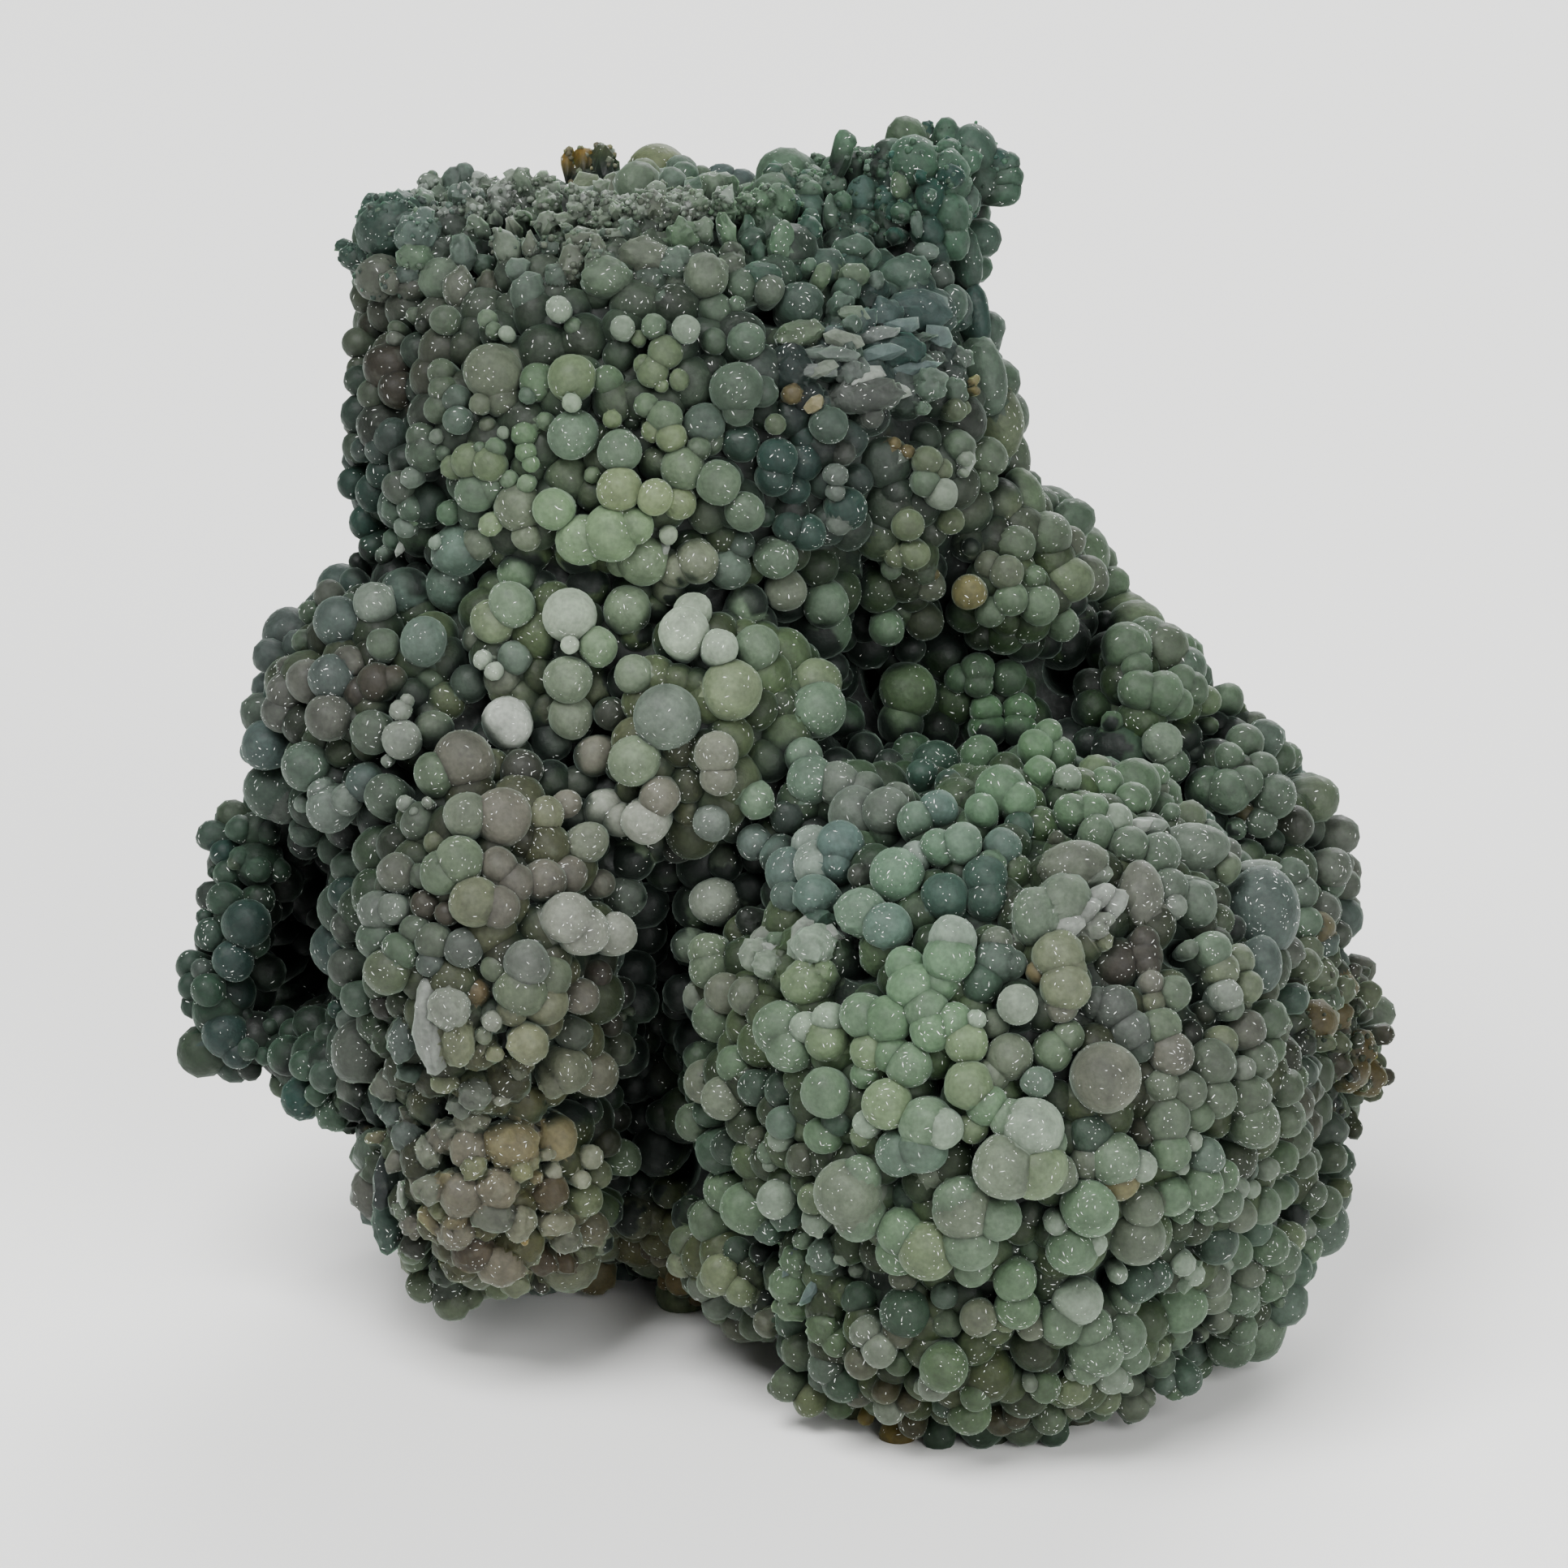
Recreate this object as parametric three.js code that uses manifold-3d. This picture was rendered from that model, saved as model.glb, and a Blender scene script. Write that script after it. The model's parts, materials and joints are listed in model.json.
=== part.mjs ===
// A piece of botryoidal chalcedony: a leaning heap of grape-like balls grown together, with a neck
// at the top, a round lobe at the lower right, a smaller one at the left and a crevice between.
// Millimetres, Z up. It stands on the flat where it was cut from the rock, with its origin there.
import * as THREE from 'three';
import { mergeVertices } from 'three/addons/utils/BufferGeometryUtils.js';
import Module from 'manifold-3d';

// The stone is laid out as it is looked at, from in front and a little above: across to the right,
// up, and out towards the eye. lookDown is the angle that the eye looks down at.
const lookDown = 20 * Math.PI / 180;
// Where the middle of the base lies in that layout once it is stood upright.
const middleAcross = -0.1;
const middleBack = -0.4;
const cutHeight = -36.4;
// How far the rock between the balls lies behind their middles.
const skin = 0.2;
// One step of lift moves a ball this far out.
const liftStep = 0.5;
// How far the root of a ball reaches back into the rock.
const rootDepth = 2.2;
// A ball this far past the edge of a mass still sits on it, as a share of the mass's radii squared.
const edgeShare = 1.15;

// The masses that the balls grow on: across, up, out, and their half sizes the same three ways.
const masses = [
  // the neck
  [-7, 22, -3, 19.5, 15, 11], [6.3, 21, -5, 7.2, 13, 9], [9, 34, -6, 4.4, 6.2, 5],
  [-20.5, 30.5, -5, 5.6, 5.8, 6.5], [-19, 20, -5, 7, 9, 9], [13, 13, -7, 5.8, 6, 7],
  [-8, 33.5, -11, 8, 4.6, 4.5],
  // the left shoulder and lobe
  [-22, 4, -5, 10.2, 10, 10], [-18, -9, -1, 9.5, 14, 12.5], [-18, -23, -4, 8, 8, 9.5],
  [-23, -24, -7, 2.8, 4.6, 4], [-26, -17.5, -7, 4.5, 3.6, 5],
  // the loop at the far left and the wall behind it
  [-32.5, -4, -11, 2.8, 2.8, 3.2], [-34, -9, -11, 2.4, 4.6, 3], [-34.8, -12.4, -11, 2.2, 3.2, 2.8],
  [-33.5, -16, -11.5, 2.8, 2, 2.8], [-30, -17, -10.5, 3.2, 2, 3], [-26, -9, -19, 7, 9, 5],
  // the middle and the right lobe
  [-5, 3, -1, 9, 10, 10.5], [13.5, -17, 3, 18.5, 19, 17.5], [12, -31, 4, 12.5, 9, 11],
  [-1, -29, -2, 5, 4.5, 7], [26, -29, -5, 6, 6, 8], [31, -24, -8, 3.2, 4.8, 6],
  // the right slope and rear
  [21.5, 3.5, -11, 5.5, 6.3, 7], [28, -1.5, -12, 4.8, 5.2, 7], [33, -6, -14, 2, 3.7, 5],
  [33.8, -16, -14, 3, 5.4, 5], [28, -13, -12, 7, 12, 10],
  // the rear and the feet under it
  [-12, -4, -14, 16, 20, 12], [4, -18, -16, 20, 16, 14], [-13, -20, -22, 11, 12, 10],
  [19, -20, -12, 12, 14.5, 12], [4, 6, -14, 18, 16, 10],
];

// The balls of the front that show from a step away: across, up, radius, and lift off the mass.
const balls = [
  // the upper left knob and the brown hollow under it
  [-24.4, 34.2, 2.5, 0.6], [-24.3, 25.6, 1.7, -0.4],
  // under the rim
  [-12.6, 31.6, 1.6, 0.3],
  // the horn at the upper right
  [12.0, 38.3, 1.9, 0.3], [11.9, 39.9, 1.2, 0.4], [9.9, 40.0, 1.1, 0.3], [9.6, 36.6, 1.6, 0],
  [7.5, 29.2, 1.7, 0.6],
  // the neck, left half
  [-17.8, 25.2, 1.9, 0.5], [-12.9, 21.4, 1.6, 0.5], [-20.0, 14.3, 1.7, 0.3],
  [-20.6, 12.2, 1.6, 0.3], [-23.2, 11.8, 1.6, 0.3],
  // the neck, right half
  [-10.6, 15.3, 1.75, 1.1], [-2.9, 24.2, 1.75, 0.6], [-8.6, 13.7, 1.6, 0.5],
  // the slope right of the neck
  [14.5, 18.3, 1.6, 0.2],
  // the left shoulder
  [-27.3, 10.0, 1.6, 0.5], [-31.9, 2.4, 1.6, 0.5], [-31.6, -0.4, 1.8, 0.4], [-19.6, 1.3, 1.9, 0.7],
  // the middle of the front
  [-13.1, 10.4, 1.65, 1.0], [-17.0, 3.7, 1.6, 1.4], [-6.1, 9.3, 1.6, 1.3], [-7.2, 4.1, 1.95, 0.6],
  [-3.2, 5.8, 1.9, 0.5], [-17.3, -1.9, 1.8, 0.6],
  // the valley between the middle and the right slope
  [2.3, 9.6, 1.9, 0.6], [2.1, 4.6, 1.75, 0.9], [7.7, 5.8, 1.75, 1.0],
  // the top of the right dome
  [4.4, -1.8, 1.8, 0.9],
  // the right slope
  [21.2, 8.5, 1.6, 0.8], [23.6, 8.4, 1.6, 0.2],
  // the loop at the far left and the dark hollow in it
  [-36.9, -11.3, 1.0, 0.2], [-36.9, -12.6, 0.9, 0.3],
  // the left lobe
  [-18.8, -7.2, 1.6, 0.5], [-13.2, -8.2, 1.65, 1.2],
  [-16.0, -12.5, 1.7, 0.4], [-11.7, -17.7, 1.6, 0.5],
  // the broken ground below the left lobe
  [-27.0, -16.2, 1.6, 0.5], [-25.7, -16.7, 2.1, 0.6], [-20.2, -25.2, 1.7, 0.5],
  [-17.6, -22.4, 1.6, 0.7], [-13.9, -21.6, 1.6, 0.9], [-17.6, -29.2, 1.6, 0.3],
  // the front of the right dome, upper left
  [-5.3, -7.4, 1.6, 1.1], [0.4, -5.4, 1.6, 0.7], [4.6, -7.8, 1.65, 1.0], [6.8, -5.4, 1.65, 1.0],
  [10.0, -10.5, 1.6, 1.0], [7.8, -12.3, 1.6, 0.8], [-0.2, -14.9, 1.75, 0.9],
  // the front of the right dome, upper right
  [14.8, -7.7, 1.7, 0.9], [17.0, -7.2, 1.8, 0.8], [18.6, -7.6, 1.7, 0.9], [17.0, -5.3, 1.7, 0.9],
  [26.3, -3.8, 1.6, 0.9], [16.6, -10.4, 1.6, 0.8], [20.2, -10.9, 1.6, -0.6],
  [19.5, -17.8, 2.1, 1.0], [29.2, -6.6, 1.9, 0.8], [30.2, -9.0, 1.75, 0.8],
  // the right rear, stained with ochre
  [36.2, -18.2, 1.3, 0.1], [36.9, -17.4, 0.8, 0],
  // the middle of the right dome
  [6.2, -19.3, 1.6, 1.0], [8.6, -20.5, 1.7, 0.8], [15.0, -20.8, 1.9, 1.1],
  [13.3, -23.1, 2.05, 1.3], [15.3, -23.3, 1.9, 1.2], [10.9, -25.8, 1.85, 0.8],
  [8.8, -28.4, 1.85, 1.1], [11.2, -27.9, 1.7, 1.0], [18.5, -25.7, 1.75, 1.1],
  [17.4, -28.2, 1.6, 0.9], [20.0, -22.7, 1.6, 0.7], [21.3, -27.5, 1.8, 0.4],
  [17.8, -31.4, 1.6, 1.0], [19.0, -34.4, 1.7, 0.7], [3.9, -24.9, 2.2, 1.0],
  // below the crevice
  [-2.2, -26.0, 1.7, 0.8],
  // the right edge of the dome
  [28.6, -20.6, 1.6, 1.0], [24.2, -31.9, 1.75, 0.6],
  // the underside of the front
  [7.4, -32.1, 1.6, 0.2],
];
// A ball that stands on the ridge behind the bowl in the top: across, up, out and radius.
const ridgeBall = [-8, 37.4, -12, 1.95];

// The rough hummocks of the sides that face away, spread evenly over each of the larger masses.
const hummockSpacing = 13.5;
const hummockRadius = 4.5;
const hummockVariation = 0.8;
const hummockRise = 0.5;
const hummockLeastWidth = 8.1;
// A hummock's mass faces away from the eye by at least this much at its place.
const facesAway = -0.02;
const goldenAngle = Math.PI * (3 - Math.sqrt(5));
// How the sizes of the hummocks run on from one to the next.
const variationStep = 1.7;

// The shallow bowl in the top of the neck, behind its rim.
const bowl = [-8, 39.5, -6.5, 8.5, 3, 3.2];

// The two round shapes that everything is made of. Their corners lie a little over 1 from the
// middle so that their flat faces stay close to a ball of radius 1.
const massShape = new THREE.IcosahedronGeometry(1.03, 1);
const ballShape = new THREE.OctahedronGeometry(1.05, 1);
const blockSize = 300;
const weldDistance = 1e-5;

const chalcedony = new THREE.MeshStandardMaterial({
  name: 'chalcedony', color: 0x8f9f8c, roughness: 0.4, metalness: 0,
});

const wasm = await Module();
wasm.setup();

// Turns a three.js geometry into a closed solid.
function solidOf(geometry) {
  const plain = geometry.clone();
  plain.deleteAttribute('normal');
  plain.deleteAttribute('uv');
  const merged = mergeVertices(plain, weldDistance);
  const triVerts = Uint32Array.from(merged.index.array);
  const vertProperties = Float32Array.from(merged.attributes.position.array);
  return new wasm.Manifold(new wasm.Mesh({ numProp: 3, vertProperties, triVerts }));
}

// Turns a closed solid back into a geometry for its mesh.
function geometryOf(solid) {
  const mesh = solid.getMesh();
  const geometry = new THREE.BufferGeometry();
  geometry.setAttribute('position', new THREE.BufferAttribute(mesh.vertProperties, 3));
  geometry.setIndex(new THREE.BufferAttribute(mesh.triVerts, 1));
  geometry.computeVertexNormals();
  return geometry;
}

// Joins many solids pair by pair.
function joined(solids) {
  let rest = solids;
  while (rest.length > 1) {
    const pairs = [];
    for (let index = 0; index < rest.length; index += 2) {
      const partner = rest[index + 1];
      pairs.push(partner ? rest[index].add(partner) : rest[index]);
    }
    rest = pairs;
  }
  return rest[0];
}

// The turn and move that stand the layout upright on its cut.
const upright = new THREE.Matrix4().makeBasis(
  new THREE.Vector3(1, 0, 0),
  new THREE.Vector3(0, Math.sin(lookDown), Math.cos(lookDown)),
  new THREE.Vector3(0, -Math.cos(lookDown), Math.sin(lookDown)),
).setPosition(-middleAcross, -middleBack, -cutHeight);

// A round shape stretched to half sizes at a place of the layout and stood upright.
function ellipsoid(shape, across, up, out, halfWidth, halfHeight, halfDepth) {
  const geometry = shape.clone();
  geometry.scale(halfWidth, halfHeight, halfDepth);
  geometry.translate(across, up, out);
  geometry.applyMatrix4(upright);
  return geometry;
}

// How far out the masses reach at a place, as seen from the front.
function frontOf(across, up) {
  let front = -Infinity;
  let nearest = Infinity;
  let beside = 0;
  for (const [x, y, z, halfWidth, halfHeight, halfDepth] of masses) {
    const share = ((across - x) / halfWidth) ** 2 + ((up - y) / halfHeight) ** 2;
    if (share < edgeShare) {
      front = Math.max(front, z + halfDepth * Math.sqrt(Math.max(0, 1 - share)));
    }
    if (share < nearest) {
      nearest = share;
      beside = z;
    }
  }
  return front > -Infinity ? front : beside;
}

// Whether a place lies inside another mass than its own.
function isBuried(place, own) {
  return masses.some(([x, y, z, halfWidth, halfHeight, halfDepth], index) => index !== own
    && ((place.x - x) / halfWidth) ** 2 + ((place.y - y) / halfHeight) ** 2
      + ((place.z - z) / halfDepth) ** 2 < 1);
}

function makeMasses() {
  return masses.map(([x, y, z, halfWidth, halfHeight, halfDepth]) => ellipsoid(
    massShape, x, y, z, halfWidth - skin, halfHeight - skin, halfDepth - skin,
  ));
}

// A ball with its root, which reaches straight back from the eye.
function rootedBall(across, up, out, radius) {
  const halfRoot = rootDepth / 2;
  return ellipsoid(ballShape, across, up, out - halfRoot, radius, radius, radius + halfRoot);
}

function makeBalls() {
  const onMasses = balls.map(([across, up, radius, lift]) => (
    rootedBall(across, up, frontOf(across, up) + liftStep * lift, radius)
  ));
  return [...onMasses, rootedBall(...ridgeBall)];
}

function makeHummocks() {
  const hummocks = [];
  masses.forEach(([x, y, z, halfWidth, halfHeight, halfDepth], own) => {
    if (halfWidth < hummockLeastWidth) {
      return;
    }
    const meanSquare = (halfWidth * halfHeight + halfHeight * halfDepth + halfWidth * halfDepth) / 3;
    const count = Math.round(4 * Math.PI * meanSquare / hummockSpacing ** 2);
    for (let index = 0; index < count; index += 1) {
      const height = 1 - 2 * (index + 0.5) / count;
      const ring = Math.sqrt(1 - height * height);
      const angle = index * goldenAngle + own;
      const way = new THREE.Vector3(ring * Math.cos(angle), ring * Math.sin(angle), height);
      const normal = new THREE.Vector3(way.x / halfWidth, way.y / halfHeight, way.z / halfDepth);
      const radius = hummockRadius + hummockVariation * Math.sin(index * variationStep + own);
      const place = new THREE.Vector3(x + halfWidth * way.x, y + halfHeight * way.y, z + halfDepth * way.z);
      if (normal.normalize().z > facesAway || isBuried(place, own)) {
        continue;
      }
      place.addScaledVector(normal, (hummockRise - 1) * radius);
      hummocks.push(ellipsoid(ballShape, place.x, place.y, place.z, radius, radius, radius));
    }
  });
  return hummocks;
}

function makeStone() {
  const grown = joined([...makeMasses(), ...makeBalls(), ...makeHummocks()].map(solidOf));
  const below = new THREE.BoxGeometry(blockSize, blockSize, blockSize);
  below.translate(0, 0, -blockSize / 2);
  return grown.subtract(solidOf(ellipsoid(massShape, ...bowl))).subtract(solidOf(below));
}

const stone = new THREE.Mesh(geometryOf(makeStone()), chalcedony);
stone.name = 'chalcedony';

const specimen = new THREE.Group();
specimen.add(stone);

export default specimen;
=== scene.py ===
"""A piece of botryoidal chalcedony: hundreds of small waxy balls, grey-green, mint and mauve,
grown over a leaning heap of round masses, with a broken rim round a shallow bowl at the top.

The stone is laid out as it is looked at, from in front and a little above: across to the right,
up, and out towards the eye, in millimetres. It is then stood upright on the flat that it was cut
off on, and scaled to metres.
"""

import json
import math
import random

import bpy
import numpy as np
from mathutils import Matrix, Vector, bvhtree, kdtree, noise

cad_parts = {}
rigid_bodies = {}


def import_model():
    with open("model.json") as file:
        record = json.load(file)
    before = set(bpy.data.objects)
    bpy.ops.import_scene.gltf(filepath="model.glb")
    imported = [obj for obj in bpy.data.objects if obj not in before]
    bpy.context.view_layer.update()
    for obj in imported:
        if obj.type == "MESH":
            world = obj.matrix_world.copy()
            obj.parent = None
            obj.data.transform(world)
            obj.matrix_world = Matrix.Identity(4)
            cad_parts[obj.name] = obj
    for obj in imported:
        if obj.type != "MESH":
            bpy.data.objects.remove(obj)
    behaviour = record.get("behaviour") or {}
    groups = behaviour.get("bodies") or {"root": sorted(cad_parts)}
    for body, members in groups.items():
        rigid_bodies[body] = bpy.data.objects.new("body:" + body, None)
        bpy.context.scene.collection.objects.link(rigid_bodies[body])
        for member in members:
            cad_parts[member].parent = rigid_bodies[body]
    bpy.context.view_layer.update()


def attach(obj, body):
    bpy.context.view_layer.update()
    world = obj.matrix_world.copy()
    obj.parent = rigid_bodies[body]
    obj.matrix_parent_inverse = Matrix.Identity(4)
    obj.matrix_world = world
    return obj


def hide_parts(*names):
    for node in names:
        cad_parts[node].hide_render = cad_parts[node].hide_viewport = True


bl_info = {
    "name": "Botryoidal chalcedony",
    "version": (1, 0, 0),
    "blender": (4, 5, 0),
    "location": "View3D > Sidebar > Chalcedony",
    "description": "Grows a cluster of chalcedony balls and sets it on a pale floor",
    "category": "Object",
}

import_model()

MILLIMETRE = 0.001
# The eye looks down at this angle, and the middle of the base lies here in the layout.
LOOK_DOWN = math.radians(20)
MIDDLE_ACROSS = -0.1
MIDDLE_BACK = -0.4
CUT_HEIGHT = -36.4
# A ball this far past the edge of a mass still sits on it, as a share of its radii squared.
EDGE_SHARE = 1.15

# The masses that the balls grow on: across, up, out, and their half sizes the same three ways.
MASSES = [
    # the neck
    [-7, 22, -3, 19.5, 15, 11], [6.3, 21, -5, 7.2, 13, 9], [8.4, 34, -6, 3.8, 6.2, 5],
    [-20.5, 30.5, -5, 5.6, 5.8, 6.5], [-19, 20, -5, 7, 9, 9], [13, 13, -7, 5.8, 6, 7],
    [-8, 33.5, -11, 8, 4.6, 4.5], [3.5, 34.6, -6.5, 5.2, 3.4, 4.6],
    # the left shoulder and lobe
    [-22, 4, -5, 10.2, 10, 10], [-18, -9, -1, 9.5, 14, 12.5], [-18, -23, -4, 8, 8, 9.5],
    [-23, -24, -7, 2.8, 4.6, 4], [-26, -17.5, -7, 4.5, 3.6, 5],
    # the loop at the far left and the wall behind it
    [-32.5, -4, -11, 2.8, 2.8, 3.2], [-34, -9, -11, 2.4, 4.6, 3], [-34.8, -12.4, -11, 2.2, 3.2, 2.8],
    [-33.5, -16, -11.5, 2.8, 2, 2.8], [-30, -17, -10.5, 3.2, 2, 3], [-26, -9, -19, 7, 9, 5],
    # the belly between the neck and the lobes, and the shoulder at the right lobe's left
    [-11.5, 8, -3, 12, 10, 9.5], [3, -2.5, 1, 8, 5.5, 7.5], [-0.8, -12, 0, 5.6, 8, 8],
    # the middle and the right lobe
    [-5, 3, -1, 9, 10, 10.5], [13.5, -17, 3, 18.5, 19, 17.5], [12, -31, 4, 12.5, 9, 11],
    [-1, -29, -2, 5, 4.5, 7], [26, -29, -5, 6, 6, 8], [31, -24, -8, 3.2, 4.8, 6],
    # the right slope and rear
    [21.5, 3.5, -11, 5.5, 6.3, 7], [28, -1.5, -12, 4.8, 5.2, 7], [33, -6, -14, 2, 3.7, 5],
    [33.8, -16, -14, 3, 5.4, 5], [28, -13, -12, 7, 12, 10],
    # the rear and the feet under it
    [-12, -4, -14, 16, 20, 12], [4, -18, -16, 20, 16, 14], [-13, -20, -22, 11, 12, 10],
    [19, -20, -12, 12, 14.5, 12], [4, 6, -14, 18, 16, 10],
]
# The shallow bowl in the top of the neck, behind its rim.
BOWL = [-8, 39.5, -6.5, 8.5, 3, 3.2]
# The dark pits between the balls of the front: across, up, half width, half height and depth.
PITS = [
    [4.7, -11, 1.5, 1.2, 5], [9.2, -18, 1, 1.2, 4], [24, -10.3, 1.2, 1, 4], [25.3, -13, 1, 1.1, 4],
    [27.5, -22, 1.1, 1, 4], [13, -28.3, 0.9, 0.8, 4], [15.5, -29.8, 0.9, 0.8, 4],
    [19.6, -30.1, 0.9, 0.9, 4], [21.8, -33, 1, 0.9, 4], [13.5, -35.5, 1, 1.1, 4],
    [-6.5, -23.5, 1.4, 2.2, 5], [-30, -11, 2.4, 3.4, 6], [5.4, 13.5, 0.8, 1.6, 4], [5.5, 8, 0.9, 3, 5],
    [5.2, 3, 1.4, 1.4, 5], [17.6, 7, 1.6, 1.6, 5], [19.8, 2.4, 1.8, 1.2, 5], [-1, 28.7, 1.8, 0.8, 5],
    [-8.9, -12.6, 1.6, 2, 5],
]

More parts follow.
